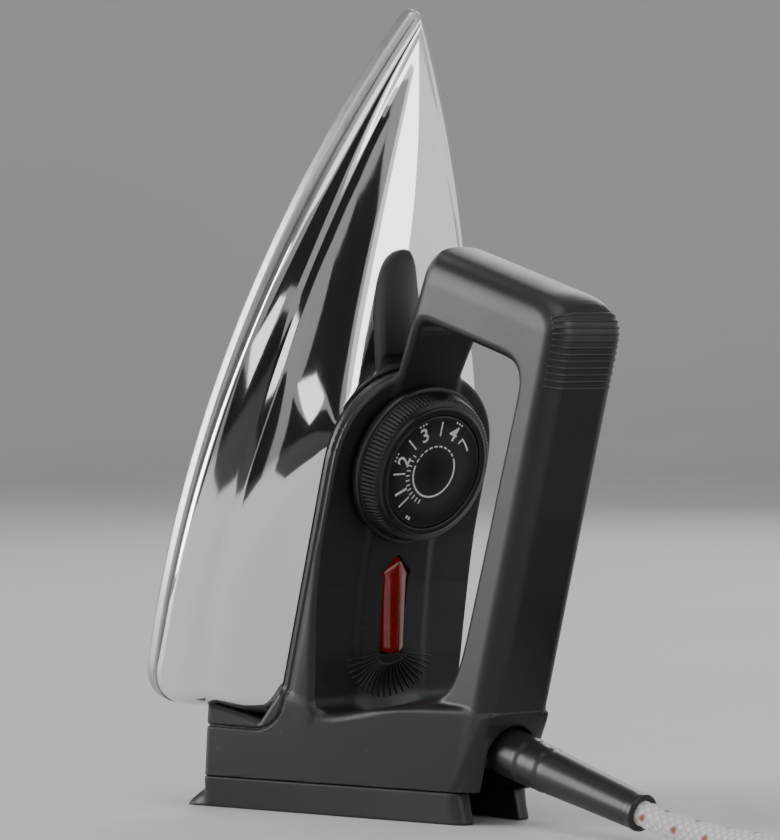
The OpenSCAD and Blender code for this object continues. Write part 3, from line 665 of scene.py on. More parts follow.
def plug_field(a, b, c):
    """Three-cornered body that narrows to its sleeve, with finger grooves and a seam."""
    t = smoothstep((c - 14) / 24)
    corners = [(-4 * t, -9.7 * t), (-4 * t, 9.7 * t), (18.8 * t, 0 * t)]
    gap, inside = np.inf, True
    for (a0, b0), (a1, b1) in zip(corners, corners[1:] + corners[:1]):
        ea, eb = a1 - a0, b1 - b0
        k = np.clip(((a - a0) * ea + (b - b0) * eb) / (ea ** 2 + eb ** 2 + 1e-6), 0, 1)
        gap = np.minimum(gap, np.hypot(a - a0 - ea * k, b - b0 - eb * k))
        inside = inside & (ea * (b - b0) - eb * (a - a0) < 0)
    prism = np.where(inside, -gap, gap) - 5.2 + 0.2 * t
    ripple = 0.5 * np.maximum(0, np.cos((c - 30) * 2 * math.pi / 5))
    gripped = smoothstep((c - 24) / 4) * smoothstep((42 - c) / 4) * smoothstep((np.abs(b) - 5) / 4)
    body = both(prism * 0.9 + ripple * gripped, np.abs(c - 32) - 18, 1.6)
    seam = np.maximum(np.abs(c - 44.5) - 0.3, -(body + 0.6))
    return np.maximum(body, -seam)


plug = field_piece("plug", plug_field, (-11, -17, 12), (26, 17, 52), 0.5, PLUG, place=on_plug)
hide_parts("plug_body")


def make_sleeve():
    """The plug's strain relief: a tapered sleeve with ring slots."""
    prof = [(3.7, 11.5), (3.7, 0.6), (4.0, 0.2), (4.6, 0.2), (4.95, 0.6)]
    for k in range(4):
        z = 2.4 + 3.0 * k
        prof += [(5.0, z), (5.0, z + 0.1), (4.4, z + 0.5), (4.4, z + 1.1), (5.05, z + 1.5)]
    prof += [(5.3, 14.5), (5.4, 16.0), (5.4, 18.0), (3.0, 18.0)]
    segments = 56
    verts = on_plug(turned(prof, segments))
    faces = outward(verts, grid_faces(len(prof), segments, wrap_rows=True))
    return piece("plug_sleeve", verts, faces, PLUG)


sleeve = make_sleeve()


def make_pins():
    """Three round pins with rounded ends, rooted inside the plug's face."""
    root, segments = -4, 40
    parts = []
    for up, across, r, length in PINS:
        prof = rounded_profile([(0.01, root), (r, root), (r, length), (0.01, length)], 0.9)
        prof = [(max(q[0], 0.02), q[1] + PLUG_FACE) for q in prof]
        verts = on_plug(turned(prof, segments, (up, across)))
        parts.append((verts, outward(verts, capped_faces(len(prof), segments))))
    return piece("plug_pin_set", *joined(parts), BRASS)


pins = make_pins()
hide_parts("plug_pins")


def make_tie():
    """A flat strap wound once round the bundle."""
    angle = math.radians(335)
    half, bottom, top = 12.1, 0.1, 26.7
    out = np.asarray(rounded_polygon([(-half, bottom), (half, bottom), (half, top),
                                      (-half, top)], 4.5, 8))
    centre = np.array([0, 0.5 * (bottom + top)])
    edge = centre + (out - centre) * (1 - 0.25 / 12)
    inner = centre + (out - centre) * np.array([0.94, 0.925])
    radial = np.array([math.cos(angle), math.sin(angle)])
    tangent = np.array([-radial[1], radial[0]])
    pts = []
    for loop, width in ((out, 3.6), (edge, 4.1), (inner, 4.1), (inner, -4.1), (edge, -4.1),
                        (out, -3.6)):
        for across, height in loop:
            xy = COIL_AT + radial * (COIL_R + across) + tangent * width
            pts.append((*xy, max(height, bottom)))
    verts = row_mm(pts)
    faces = outward(verts, grid_faces(6, len(out), wrap_rows=True))
    return piece("coil_tie", verts, faces, RUBBER)


tie = make_tie()
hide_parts("cord_tie")


# ---- Strain relief ------------------------------------------------------------------

PIVOT = np.array([17.0, 0, 92.0])
GUARD_TILT = math.radians(3)
GUARD_BORE = 3.6
GUARD_RINGS = [(18.5, 0.9, 0.16), (20.6, 0.7, -0.22), (26.5, 0.9, 0.14), (28.4, 0.7, -0.20)]


def along_guard(p):
    """Millimetres (across, across, along the guard) to the standing row frame."""
    p = np.asarray(p, float)
    c, s = math.cos(GUARD_TILT), math.sin(GUARD_TILT)
    x, y, z = p[..., 0], p[..., 1], p[..., 2]
    return stand(np.stack([PIVOT[0] + c * x + s * z, PIVOT[1] + y, PIVOT[2] - s * x + c * z], -1))


def make_guard():
    """Tapered rubber sleeve with two soft rings near its root and a small lip."""
    prof = [(4.2, 4.5), (5.2, 4.5), (5.3, 7.9), (5.9, 8.3), (6.5, 8.7), (6.75, 9.4), (6.78, 12.0)]
    taper_from, taper_to = 12.6, 62.2
    for z in np.arange(taper_from, taper_to, 0.8):
        t = (z - taper_from) / (taper_to - taper_from)
        r = 6.78 - 0.35 * smoothstep(t * 1.6) - 1.35 * t ** 1.25
        for middle, width, height in GUARD_RINGS:
            r += height * math.exp(-((z - middle) / width) ** 2)
        prof.append((r, z))
    end = prof[-1][0]
    prof += [(end - 0.12, 62.7), (end - 0.02, 63.1), (end + 0.1, 63.7), (end + 0.05, 64.5),
             (end - 0.3, 64.9), (end - 0.8, 65.0), (GUARD_BORE + 0.15, 65.0),
             (GUARD_BORE + 0.02, 64.7), (GUARD_BORE, 63.5), (GUARD_BORE, 55.0), (GUARD_BORE, 6.0)]
    segments = 96
    verts = along_guard(turned(prof, segments))
    faces = outward(verts, grid_faces(len(prof), segments, wrap_rows=True))
    return piece("strain_relief", verts, faces, RUBBER, body="cord_swivel")


guard = make_guard()
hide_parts("cord_guard")


# ---- Soleplate ----------------------------------------------------------------------

BOW_R, BOW_U, BOW_V = 330.04, 28.0, 277.54
TIP_U, TIP_R = 201.37, 2.8
REAR_R, REAR_V = 12.0, 40.1


def sole_ring(inset):
    """Outline of the sole: two long arcs, a round tip and round rear corners."""
    tip_turn = math.atan2(BOW_V, TIP_U - BOW_U)
    rear_turn = math.atan2(math.sqrt((BOW_R - REAR_R) ** 2 - (BOW_U - REAR_R) ** 2),
                           REAR_R - BOW_U)
    half = [(TIP_U + (TIP_R - inset) * math.cos(a), (TIP_R - inset) * math.sin(a))
            for a in np.linspace(0, tip_turn, 9)]
    half += [(BOW_U + (BOW_R - inset) * math.cos(a), (BOW_R - inset) * math.sin(a) - BOW_V)
             for a in np.linspace(tip_turn, rear_turn, 73)[1:]]
    half += [(REAR_R + (REAR_R - inset) * math.cos(a), REAR_V + (REAR_R - inset) * math.sin(a))
             for a in np.linspace(rear_turn, math.pi, 15)[1:]]
    return half + [(u, -v) for u, v in reversed(half[1:])]


def make_sole():
    """A plate with eased edges; its flat faces have an inner ring, to hold their shading."""
    bottom, top, eased, centre = 3.5, 7.5, 2.6, np.array([80.0, 0.0])
    levels = [(1.2, bottom), (0.7, 3.56), (0.3, 3.75), (0.07, 4.1), (0.0, 4.6), (0.0, 6.7),
              (0.06, 7.1), (0.25, 7.38), (0.6, top)]
    inner = centre + (np.array(sole_ring(eased)) - centre) * 0.94
    rings = [raised(inner, bottom)]
    rings += [raised(np.array(sole_ring(inset)), w) for inset, w in levels]
    rings.append(raised(inner, top))
    verts = stand(np.concatenate(rings))
    faces = capped_faces(len(rings), len(inner))
    return piece("sole_plate", verts, outward(verts, faces), SOLE)


sole = make_sole()
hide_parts("soleplate")


# ---- Chrome shell -------------------------------------------------------------------

def ring(tip, half, rear, wide, corner, sharp=2.0, blunt=1.0, side=72, turns=14):
    """Outline whose front narrows from its widest place to its tip."""
    out = []
    for i in range(side):
        t = math.cos(math.pi / 2 * i / side)
        out.append((wide + (tip - wide) * t, half * (1 - t ** sharp) ** blunt))
    for i in range(turns + 1):
        a = math.pi / 2 * (1 + i / turns)
        out.append((rear + corner + corner * math.cos(a), half - corner + corner * math.sin(a)))
    return np.array(out + [(u, -v) for u, v in reversed(out[1:])])


FOOT = ring(202.5, 51.7, 0.8, 28, 11)
CREASE = ring(196, 44.5, 3.5, 28, 11, 2, 1.05)
SEAT = ring(108, 28, 4, 78, 9, 2.6, 0.5)
HOLE = ring(96, 18, 13, 78, 4, 2.6, 0.5)
SHELL_TOP, SHELL_WALL = 35.5, 1.2


def crease_height(u):
    """The crease falls towards the tip."""
    rear, tip = 19, 11
    return rear + (tip - rear) * np.clip((u - 60) / 136, 0, 1) ** 2


def bulged(start, end, steps, height):
    """Rows of points from one outline to another, bowed outward in the middle."""
    middle = 0.5 * (start + end)
    along = np.roll(middle, -1, 0) - np.roll(middle, 1, 0)
    out = np.cross(along, end - start)
    out /= np.maximum(lengths(out), 1e-9)
    out *= np.sign((out[:, :2] * (middle[:, :2] - [60, 0])).sum(1) + 1e-9)[:, None]
    return [start + (end - start) * t + out * height * 4 * t * (1 - t)
            for t in np.linspace(0, 1, steps)]


def make_shell():
    """Pressed shell: a steep foot, a crease, a sloping flank and a seat with a hole."""
    foot = raised(FOOT, 10.0)
    crease = raised(CREASE, crease_height(CREASE[:, 0]))
    seat = raised(SEAT, SHELL_TOP)
    fillet = 1.3
    before, after = (crease + (side - crease) / lengths(side - crease) * fillet
                     for side in (foot, seat))
    rows = [raised(ring(200.6, 49.8, 2.7, 28, 10), 7.72),
            raised(ring(202.1, 51.3, 1.2, 28, 11), 7.72),
            raised(ring(202.4, 51.6, 0.9, 28, 11), 7.9), raised(FOOT, 8.3), raised(FOOT, 9.3)]
    rows += bulged(foot, before, 14, 0.45)
    rows += [curve_point(before, crease, after, t) for t in np.linspace(0, 1, 7)[1:-1]]
    rows += bulged(after, seat, 26, 0.9)
    rows += [raised(HOLE, SHELL_TOP), raised(HOLE, SHELL_TOP - SHELL_WALL),
             raised(ring(107, 27, 5, 78, 8, 2.6, 0.5), SHELL_TOP - SHELL_WALL)]
    inner = ring(193, 43.1, 4.9, 28, 10, 2, 1.05)
    rows.append(raised(inner, crease_height(inner[:, 0]) - 0.6))
    rows.append(raised(ring(200.4, 49.7, 2.8, 28, 10), 9.5))
    verts = stand(np.concatenate(rows))
    faces = grid_faces(len(rows), len(FOOT), wrap_rows=True)
    return piece("shell", verts, outward(verts, faces), CHROME)


shell = make_shell()
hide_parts("chrome_shell")


# ---- Handle -------------------------------------------------------------------------

GRIP_TOP, GRIP_HALF, POST_FRONT, LOOP_R = 103.0, 13.0, 147.0, 13.0
FLOOR_W = 42.0
OPENING = rounded_polygon(
    [(125, 46.5), (125, 85.5), (123, 89), (119, 90.5), (40, 88.5), (32, 86.5), (27, 82),
     (23, 74), (14, 57), (12.5, 52), (14, 49.5), (19, 48.4), (26, 47.2), (34, 45.5),
     (46, 43.4), (60, 42), (104, 42), (112, 43.5)],
    [5, 5, 4, 5, 12, 6, 8, 12, 6, 3, 3, 4, 6, 6, 8, 10, 6, 6])
LOOP_SIDE = [(-45, 38), (101, 38), (141, 43), (147, 43.8)] + [
    (POST_FRONT - LOOP_R + LOOP_R * math.cos(a), GRIP_TOP - LOOP_R + LOOP_R * math.sin(a))
    for a in np.linspace(0, math.pi / 2, 13)] + [(-45, GRIP_TOP)]
TOWER_SIDE = [(-40, 24.6), (3.5, 14.97), (3.5, 33), (14, 37), (14, 49), (29, 96), (29, 103),
              (26, 103), (-20, 92.5)]
SADDLE_SIDE = [(-4, 30), (-4, 49.5), (14, 49.5), (19, 48.4), (26, 47.2), (34, 45.5),
               (46, 43.4), (60, FLOOR_W), (120, FLOOR_W), (120, 30)]
SADDLE_END = [(-29.6, 36), (29.6, 36), (29.2, 42), (27.2, 49), (26, 54), (-26, 54), (-27.2, 49),
              (-29.2, 42)]
SEAM = [(112, 39.6)] + [(10.2 + 9.6 * math.cos(a), 30 + 9.6 * math.sin(a))
                        for a in np.linspace(math.pi / 2, math.pi - 0.28, 9)] + [(-5.2, 10)]
SEAM_DEEP, SEAM_HALF = 0.75, 0.62
LENS_PLAN = [(27, -3.6), (48.5, -4.2), (49.5, -5), (54.5, 0), (49.5, 5), (48.5, 4.2), (27, 3.6)]
PIVOT_U, PIVOT_W, SLOT = 17.0, 92.0, 8.2
DIAL_U = 82.0
HEEL_TOP = 8.9


def box_field(u, v, w, low, high):
    """Largest of the six plane distances of a box, or fewer where a side is None."""
    out = -np.inf
    for x, a, b in zip((u, v, w), low, high):
        if a is not None:
            out = np.maximum(out, a - x)
        if b is not None:
            out = np.maximum(out, x - b)
    return out


def above_table(u, w):
    """Height over the surface that the iron stands on."""
    return COS * u - SIN * w + HEEL_DROP


def tower_field(u, v, w):
    """The rear tower, which narrows from the heel up to the swivel."""
    heel_u = 0.2867 * w - 23.2
    at_heel = 38.2 - 24.8 * (w - 19.6) / 78.3
    at_front = 37.5 - 23.9 * (w - 10) / 87
    t = np.clip((u - heel_u) / (26 - heel_u), -0.2, 1.2)
    side = (np.abs(v) - (at_heel + (at_front - at_heel) * t)) * 0.96
    return both(side, polygon_field(TOWER_SIDE, u, w), 2.0)


def loop_field(u, v, w):
    """The grip and its front post, round in plan at the front."""
    side = both(np.abs(v) - GRIP_HALF, polygon_field(LOOP_SIDE, u, w), 6.0)
    bow = np.where(u > 128, np.hypot(u - 128, v) - 19, np.abs(v) - 19)
    return both(side, bow, 4.0)


def saddle_field(u, v, w):
    """The saddle on the shell's seat, with its floor and its rear ramp."""
    plan = polygon_field(ring(108.8, 29.2, 3.2, 78, 9.8, 2.6, 0.5, 30, 8), u, v)
    top = both(plan, polygon_field(SADDLE_SIDE, u, w), 1.5)
    low = np.maximum(polygon_field(SADDLE_END, v, w), 37.0 - w)
    return both(top, low, 0.8)


def shell_room(u, v, w):
    """The room that the shell takes up under the handle."""
    foot = polygon_field(ring(202.5, 51.7, 0.8, 28, 11, side=24, turns=8), u, v)
    crease = polygon_field(ring(196, 44.5, 3.5, 28, 11, 2, 1.05, 24, 8), u, v)
    seat = polygon_field(ring(108, 28, 4, 78, 9, 2.6, 0.5, 24, 8), u, v)
    t = np.clip((w - 10) / 9, 0, 1)
    s = np.clip((w - 19) / 16.5, 0, 1)
    plan = foot + (crease - foot) * t + (seat - crease) * s
    return np.maximum(plan - 0.2, w - SHELL_TOP - 0.05)


def inner_room(u, v, w):
    """Hollows of the housing: terminals, swivel, saddle and the dial's bore."""
    swivel = [(-60, 40), (9, 40), (9, 71), (20.5, 78), (20.5, 86), (-60, 86)]
    out = box_field(u, v, w, (None, -16, 38), (9, 16, 62))
    out = np.minimum(out, np.maximum(polygon_field(swivel, u, w), np.abs(v) - 9))
    out = np.minimum(out, box_field(u, v, w, (12, -20, 30), (94, 20, 39)))
    out = np.minimum(out, box_field(u, v, w, (5, -12, 30), (25, 12, 44.5)))
    out = np.minimum(out, np.maximum(np.hypot(u - DIAL_U, v) - 7, w - 60))
    return out


def slot_field(u, v, w):
    """The swivel's slot: open at the heel and at the grip's top."""
    out = box_field(u, v, w, (None, -SLOT, 76), (PIVOT_U, SLOT, None))
    out = np.minimum(out, np.maximum(np.hypot(u - PIVOT_U, v) - SLOT, 92 - w))
    rod = np.hypot(u - PIVOT_U, w - PIVOT_W)
    out = np.minimum(out, np.maximum(rod - SLOT - 0.1, np.abs(v) - SLOT))
    return np.minimum(out, np.maximum(rod - 4.2, np.abs(v) - 12.2))


def handle_field(u, v, w):
    """The whole moulding: tower, grip and saddle less the openings, seam line and rooms."""
    fillet = 0.8 + 2.4 * smoothstep((94 - w) / 18)
    body = either(tower_field(u, v, w), loop_field(u, v, w), fillet)
    body = either(body, saddle_field(u, v, w), 1.6)
    body = both(body, -polygon_field(OPENING, u, w), 3.0)
    dish = (np.sqrt(((u - 20) / 12) ** 2 + (v / 17) ** 2 + ((w - 54.5) / 8) ** 2) - 1) * 7
    body = cut(body, dish, 1.5)
    body = cut(body, slot_field(u, v, w), 0.9)
    body = body + SEAM_DEEP * np.maximum(0, 1 - path_distance(SEAM, u, w) / SEAM_HALF)
    body = np.maximum(body, -shell_room(u, v, w))
    body = np.maximum(body, -inner_room(u, v, w))
    lens_room = np.maximum(polygon_field(LENS_PLAN, u, v) - 0.25, np.abs(w - 48.3) - 8)
    body = cut(body, lens_room, 0.2)
    return np.maximum(body, HEEL_TOP + 0.15 - above_table(u, w))


handle = field_piece("handle", handle_field, (-24, -41, 8), (149, 41, 104.5), 0.55, BLACK)
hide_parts("handle_body")


# A rib's section: across in widths, below the surface in mm and over it in heights.
RIB_SECTION = [(-0.5, -0.35, 0), (-0.42, 0, 0.35), (-0.22, 0, 0.86), (0, 0, 1),
               (0.22, 0, 0.86), (0.42, 0, 0.35), (0.5, -0.35, 0)]


def bars_on(name, field, lines, width, height):
    """Low rounded ribs along lines of points, laid on a field's surface."""
    spacing, end_taper, sunk = 0.45, 0.8, 0.02
    m = len(RIB_SECTION)
    parts = []
    for line in lines:
        p = smooth_line(line, spacing)
        for _ in range(4):
            g = slope(field, p, 0.1)
            p = p - g * (field(*p.T) / np.maximum((g ** 2).sum(1), 0.1))[:, None]
        up = g / lengths(g)
        side = np.cross(up, np.gradient(p, axis=0))
        side /= lengths(side)
        n = len(p)
        ends = np.minimum(np.arange(n), np.arange(n)[::-1]) * spacing / end_taper
        lift = height * np.sqrt(np.clip(1 - (1 - np.clip(ends, 0, 1)) ** 2, 0, 1))
        verts = stand(np.concatenate([
            p + side * width * across + up * (low + lift * high - sunk)[:, None]
            for across, low, high in RIB_SECTION]))
        faces = grid_faces(m, n, wrap_rows=True, wrap_cols=False)
        faces.append(tuple(j * n for j in range(m)))
        faces.append(tuple(j * n + n - 1 for j in reversed(range(m))))
        parts.append((verts, outward(verts, faces)))
    return piece(name, *joined(parts), BLACK)


def grip_lines():
    """Lines across the grip's top that go on round its front corner."""
    pitch, flat_run, first_u = 1.9, 12, 122.0
    flat_half, flat_turn, edge_r = 7, 30, 6
    lines = []
    for k in range(12):
        s = pitch * k
        if s < flat_run:
            base, out = np.array([first_u + s, GRIP_TOP]), np.array([0.0, 1.0])
        else:
            a = math.pi / 2 - (s - flat_run) / LOOP_R
            out = np.array([math.cos(a), math.sin(a)])
            base = np.array([POST_FRONT - LOOP_R, GRIP_TOP - LOOP_R]) + LOOP_R * out
        line = []
        for angle in np.linspace(-58, 58, 25):
            b = math.radians(angle)
            if abs(angle) > flat_turn:
                v = math.copysign(flat_half + edge_r * abs(math.sin(b)), b)
                q = base - out * edge_r * (1 - math.cos(b))
            else:
                v, q = 10 * angle / flat_turn, base
            line.append((q[0], v, q[1]))
        lines.append(line)
    return lines


grip_ribs = bars_on("grip_ribs", loop_field, grip_lines(), 0.85, 0.3)


def thumb_lines():
    """A fan of lines down the saddle's rear ramp, round the lens's foot."""
    fan_u, ramp_u, ramp_w = 27.5, [14, 19, 26, 34], [49.5, 48.4, 47.2, 45.5]
    t = np.linspace(0, 1, 9)
    lines = []
    for a in np.radians(np.linspace(-80, 80, 21)):
        u = fan_u - (3.6 + (13.2 - 3.6) * t) * math.cos(a)
        v = (4.8 + (16.0 - 4.8) * t) * math.sin(a)
        lines.append(np.column_stack([u, v, np.interp(u, ramp_u, ramp_w) - 0.8]))
    return lines


thumb_ribs = bars_on("thumb_ribs", handle_field, thumb_lines(), 0.7, 0.4)


# ---- Heel cap -----------------------------------------------------------------------

CAP_SCREWS = [(22, 24), (22, -24), (69, 12.5), (69, -12.5)]
SCREW_R, SCREW_SINK_R, SCREW_SINK = 1.7, 3.6, 3.0


def heel_field(x, y, z):
    """Flared cap with a notch for the cord and counterbores for its screws."""
    low = rounded_polygon([(6.6, -38.8), (98, -12.8), (98, 12.8), (6.6, 38.8)], 2.6)
    high = rounded_polygon([(13.6, -38.2), (95.6, -13.4), (95.6, 13.4), (13.6, 38.2)], 2.6)
    t = np.clip(z / 9, 0, 1)
    sides = polygon_field(low, x, y) * (1 - t) + polygon_field(high, x, y) * t
    body = both(sides, np.maximum(-z, z - HEEL_TOP), 0.7)
    body = cut(body, np.maximum(78 - x, np.abs(y) - SLOT), 0.7)
    for a, b in CAP_SCREWS:
        off = np.hypot(x - a, y - b)
        hole = np.minimum(np.maximum(off - SCREW_SINK_R, z - SCREW_SINK), off - SCREW_R)
        body = np.maximum(body, -hole)
    return body


heel = field_piece("heel_cap_shape", heel_field, (4, -41, -1), (100, 41, 10), 0.5, HEEL,
                   place=on_heel)
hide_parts("heel_cap")


# ---- Dial ---------------------------------------------------------------------------

KNURLS = 108


def make_dial():
    """Base flange, knurled cone and a face with a fine groove round its disc."""
    prof = [(0.02, 42.5), (8.9, 42.5), (9.0, 42.9), (17.0, 42.9), (17.1, 42.5), (22.5, 42.4),
            (22.85, 42.6), (23.0, 43.0), (23.0, 44.3), (22.85, 44.65), (22.5, 44.85), (21.9, 44.9),
            (21.75, 45.1), (21.7, 45.4), (21.5, 46.2), (21.25, 47.1), (21.0, 48.0), (20.75, 48.9),
            (20.6, 49.3), (20.35, 49.6), (20.0, 49.8), (19.3, 50.0), (19.0, 50.1), (18.8, 50.35),
            (18.5, 50.55), (18.1, 50.6), (17.1, 50.6), (16.85, 50.5), (16.7, 50.2), (16.62, 49.9),
            (16.5, 49.9), (16.38, 50.1), (16.2, 50.3), (15.9, 50.38), (15.4, 50.4), (10.0, 50.4),
            (0.02, 50.4)]

    def knurl(r, h, angles):
        deep = smoothstep((h - 45.0) / 0.5) * smoothstep((49.9 - h) / 0.5) if r > 20 else 0
        wave = np.abs(np.sin(angles * KNURLS / 2)) ** 0.7
        return deep * (0.5 * wave - 0.25)

    segments = KNURLS * 10
    verts = stand(turned(prof, segments, (DIAL_U, 0), knurl))
    faces = outward(verts, capped_faces(len(prof), segments))
    return piece("dial_shape", verts, faces, DIAL, body="dial")


dial = make_dial()
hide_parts("dial_knob", "dial_cap")


PRINT_LOW, PRINT_HIGH = 50.36, 50.44


def flat_bar(points, width):
    """A thin printed bar along a plan line, as verts and faces."""
    p = np.asarray(points, float)
    t = np.gradient(p, axis=0)
    t /= lengths(t)
    side = np.stack([-t[:, 1], t[:, 0]], -1) * width / 2
    n = len(p)
    verts = np.concatenate([raised(p - side, PRINT_LOW), raised(p - side, PRINT_HIGH),
                            raised(p + side, PRINT_HIGH), raised(p + side, PRINT_LOW)])
    faces = grid_faces(4, n, wrap_rows=True, wrap_cols=False)
    faces += [(0, n, 2 * n, 3 * n), (4 * n - 1, 3 * n - 1, 2 * n - 1, n - 1)]
    return verts, outward(verts, faces)


def dial_arc(radius, start, end, width):
    angles = np.radians(np.linspace(start, end, max(4, int(abs(end - start) / 4))))
    return flat_bar(np.stack([DIAL_U + radius * np.cos(angles), radius * np.sin(angles)], -1),
                    width)


def dial_ray(angle, inner, outer, width):
    a = math.radians(angle)
    return flat_bar([(DIAL_U + r * math.cos(a), r * math.sin(a))
                     for r in np.linspace(inner, outer, 3)], width)


def digit(text, angle, radius, size):
    """A number from the built-in font, its foot towards the dial's centre."""
    curve = bpy.data.curves.new("digit", "FONT")
    curve.body = text
    curve.size = size
    curve.align_x = "CENTER"
    curve.align_y = "CENTER"
    curve.extrude = (PRINT_HIGH - PRINT_LOW) / 2
    curve.offset = 0.08
    curve.resolution_u = 3
    holder = bpy.data.objects.new("digit", curve)
    mesh = bpy.data.meshes.new_from_object(holder)
    pts = np.array([tuple(v.co) for v in mesh.vertices])
    faces = [tuple(q.vertices) for q in mesh.polygons]
    bpy.data.objects.remove(holder)
    bpy.data.meshes.remove(mesh)
    bpy.data.curves.remove(curve)
    a = math.radians(angle)
    out, right = np.array([math.cos(a), math.sin(a)]), np.array([math.sin(a), -math.cos(a)])
    plan = np.array([DIAL_U, 0]) + out * radius + pts[:, 1:2] * out + pts[:, 0:1] * right
    return raised(plan, pts[:, 2] + (PRINT_LOW + PRINT_HIGH) / 2), faces


def make_print():
    """A ring, part solid and part dashed, with rays, dots and four numbers round it."""
    ring_r, number_r = 7.4, 11.9
    numbers = {"1": 118, "2": 74, "3": 28, "4": -24}
    parts = [dial_arc(ring_r, 75, 300, 0.55)]
    parts += [dial_arc(ring_r, a, a + 9, 0.5) for a in range(-54, 72, 14)]
    parts += [dial_ray(a, 8.6, 10.0, 0.4) for a in range(60, 160, 9)]
    parts += [dial_ray(a, 10.4, 14.6, 0.5) for a in (0, 50, 92, 134)]
    parts += [dial_arc(12.6, -62, -42, 0.5), dial_ray(-42, 10.8, 12.8, 0.5)]
    parts += [digit(text, a, number_r, 6.0) for text, a in numbers.items()]
    parts += [dial_arc(14.8, a, a + 2.6, 0.9) for a in (151, 155)]
    parts += [dial_arc(15.2, numbers[text] + shift, numbers[text] + shift + 2, 0.5)
              for shift in (-6, -2, 2) for text in "342"]
    verts, faces = joined(parts)
    return piece("dial_print", stand(verts), faces, PRINT, body="dial", smooth=False)


marks = make_print()


# ---- Pilot lens ---------------------------------------------------------------------

LENS_TOP_U = [26, 26.6, 27.6, 29, 34, 42, 50, 53, 55]
LENS_TOP_W = [46.4, 48.6, 49.6, 49.9, 48.7, 46.8, 45.0, 44.2, 43.2]


def lens_field(u, v, w):
    """A pointed lens with a low ridge, forked at its rear end."""
    plan = polygon_field(rounded_polygon(LENS_PLAN, [2.6, 1.0, 0.9, 1.4, 0.9, 1.0, 2.6]), u, v)
    top = np.interp(u, LENS_TOP_U, LENS_TOP_W)
    roof = (w - top + 0.5 * np.sqrt(v * v + 0.6)) * 0.9
    body = both(plan, roof, 1.4)
    fork = np.maximum(np.abs(v) * 1.6 - (29.4 - u) * 0.7, 46.5 - w)
    body = cut(body, fork, 0.5)
    return np.maximum(body, 40.5 - w)


lens = field_piece("lens", lens_field, (25.5, -6, 40), (56, 6, 51), 0.25, LENS)
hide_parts("pilot_lens")


# ---- Stage and lights ---------------------------------------------------------------

def stage_mesh(name, verts, faces, material):
    obj = piece(name, verts, faces, material, body=None)
    return obj


def floor_material():
    n = Nodes("studio_floor")
    cloud = n.noise(3.0, 4.0)
    fine = n.noise(160.0, 3.0)
    n.set(Base_Color=n.blend(n.span(cloud, 0.0, 1.0), (0.74, 0.74, 0.745), (0.70, 0.70, 0.705)))
    n.set(Roughness=n.span(fine, 0.62, 0.72))
    return n.material


def make_floor():
    """A round pale floor whose far edge curves up into a wall on every side."""
    prof = [(0.02, 0), (0.4, 0), (1.0, 0), (2.0, 0), (2.8, 0)]
    prof += [(2.8 + 1.2 * math.sin(a), 1.2 - 1.2 * math.cos(a)) for a in np.linspace(0.1, 1.4, 12)]
    prof += [(4.05, 1.6), (4.1, 2.4)]
    segments = 96
    faces = [tuple(reversed(f)) for f in grid_faces(len(prof), segments)]
    faces.append(tuple(range(segments)))
    return stage_mesh("studio_floor", turned(prof, segments), faces, floor_material())


make_floor()


def card_material(name, colour, strength=0.0):
    n = Nodes(name)
    cloud = n.noise(2.0, 3.0)
    n.set(Base_Color=n.blend(n.span(cloud, 0.0, 1.0), colour, tuple(c * 0.9 for c in colour)))
    n.set(Roughness=0.9, Emission_Color=(1, 1, 1, 1), Emission_Strength=strength)
    return n.material


# Painted reflections: one dark sheet and two glowing sheets that only the chrome and other mirrors
# show.
CARD_DARK = card_material("card_dark", (0.012, 0.012, 0.012))
CARD_SOFT = card_material("card_soft", (0.8, 0.8, 0.8), 0.42)
CARD_WHITE = card_material("card_white", (0.8, 0.8, 0.8), 1.1)


def card_point(azimuth, elevation, radius):
    """A point seen from the shell in a direction: on a wide sphere, or on the floor."""
    a, e = math.radians(azimuth), math.radians(elevation)
    height, over_floor = 0.10, 0.006
    if height + radius * math.tan(e) < 0.01:
        reach = (height - over_floor) / math.tan(-e)
        return (reach * math.cos(a), reach * math.sin(a), over_floor)
    return (radius * math.cos(a), radius * math.sin(a), height + radius * math.tan(e))


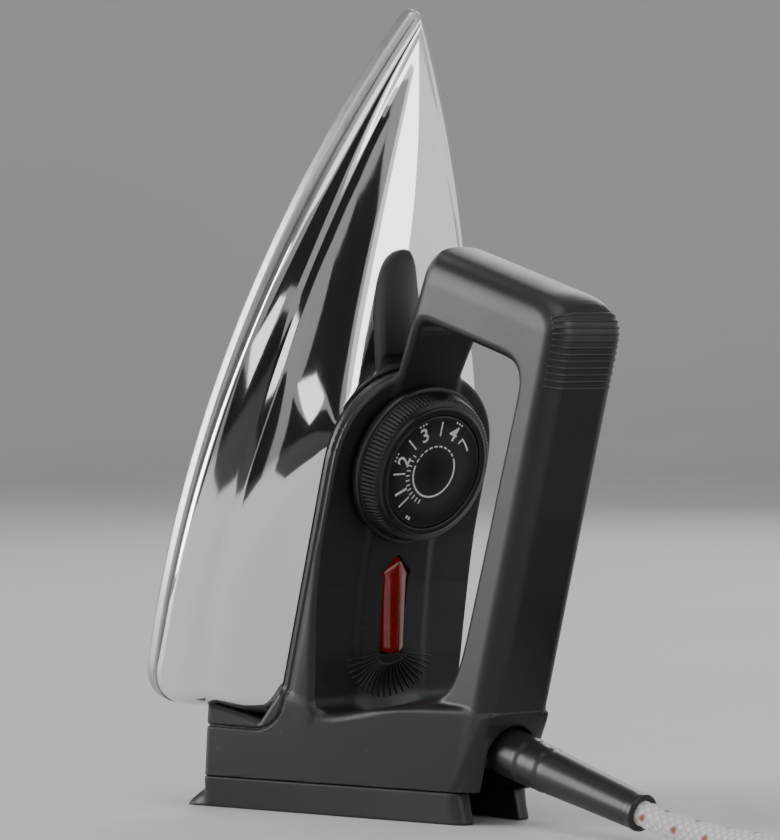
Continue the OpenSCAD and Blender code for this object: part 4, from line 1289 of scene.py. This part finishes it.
def card(name, outline, material, radius=2.3):
    """A card that only mirrors see, a painted reflection, given by its outline in degrees seen from
    the shell.
    """
    dense = []
    for p, q in zip(outline, outline[1:] + outline[:1]):
        count = max(1, int(math.dist(p, q) / 1.5))
        dense += [(p[0] + (q[0] - p[0]) * k / count, p[1] + (q[1] - p[1]) * k / count)
                  for k in range(count)]
    middle = np.mean(dense, 0)
    n, rings = len(dense), 8
    verts = [card_point(*(middle + (np.array(q) - middle) * j / rings), radius)
             for j in range(1, rings + 1) for q in dense] + [card_point(*middle, radius)]
    faces = grid_faces(rings, n) + [(len(verts) - 1, i, (i + 1) % n) for i in range(n)]
    obj = stage_mesh(name, verts, faces, material)
    obj.visible_camera = obj.visible_diffuse = False
    obj.visible_shadow = obj.visible_transmission = False
    return obj


# Painted reflections: dark and bright patches laid into the chrome, including a dark patch of
# floor.
card("card_dark_main", [(-14, 12), (-22, 15.5), (-41, 18), (-56, 17.5), (-66, 13.5), (-74, 9.5),
                        (-61, 9.5), (-50, 7), (-40, 3.5), (-30, 6), (-20, 8)], CARD_DARK)
card("card_dark_low", [(-78, 7.5), (-66, 1.5), (-60, 3.5), (-50, 4.5), (-41, 1.5), (-38, -6),
                       (-44, -13), (-58, -14), (-70, -12), (-77, -6)], CARD_DARK)
card("card_dark_side", [(-98, 11), (-85, 11), (-84, 4), (-83, -4), (-90, -6), (-98, -4)], CARD_DARK)
card("card_white_high", [(-100, 22), (-60, 19.5), (-40, 20.5), (-14, 17), (20, 22), (20, 42),
                         (-100, 42)], CARD_WHITE, 2.35)
card("card_soft_front", [(-12, -2), (-16, 4), (-10, 13), (20, 20), (120, 26), (120, -2)],
     CARD_SOFT, 2.4)
card("card_dark_floor", [(22, -14), (75, -14), (75, -48), (22, -48)], CARD_DARK)
card("card_white_gap", [(-76, 9), (-64, 0.5), (-52, 6.5), (-61, 9.5)], CARD_WHITE, 2.2)


def softbox(name, at, size, power):
    """A square area light aimed at the middle of the iron."""
    data = bpy.data.lights.new(name, "AREA")
    data.size = size
    data.energy = power
    obj = bpy.data.objects.new(name, data)
    bpy.context.scene.collection.objects.link(obj)
    obj.location = at
    obj.rotation_mode = "QUATERNION"
    obj.rotation_quaternion = (MIDDLE - Vector(at)).to_track_quat("-Z", "Y")


MIDDLE = Vector((0, 0, 0.11))
softbox("front_light", (1.7, 0.35, 0.55), 1.1, 9)
softbox("left_light", (-1.25, -1.35, 0.55), 1.0, 26)
softbox("top_light", (0.3, -0.4, 1.8), 1.2, 9)
softbox("rim_light", (-0.9, 1.3, 0.9), 0.7, 6)

world = bpy.data.worlds.new("studio")
world.use_nodes = True
sky = world.node_tree.nodes["Background"].inputs
sky["Color"].default_value = (0.9, 0.92, 0.95, 1)
sky["Strength"].default_value = 0.35
bpy.context.scene.world = world
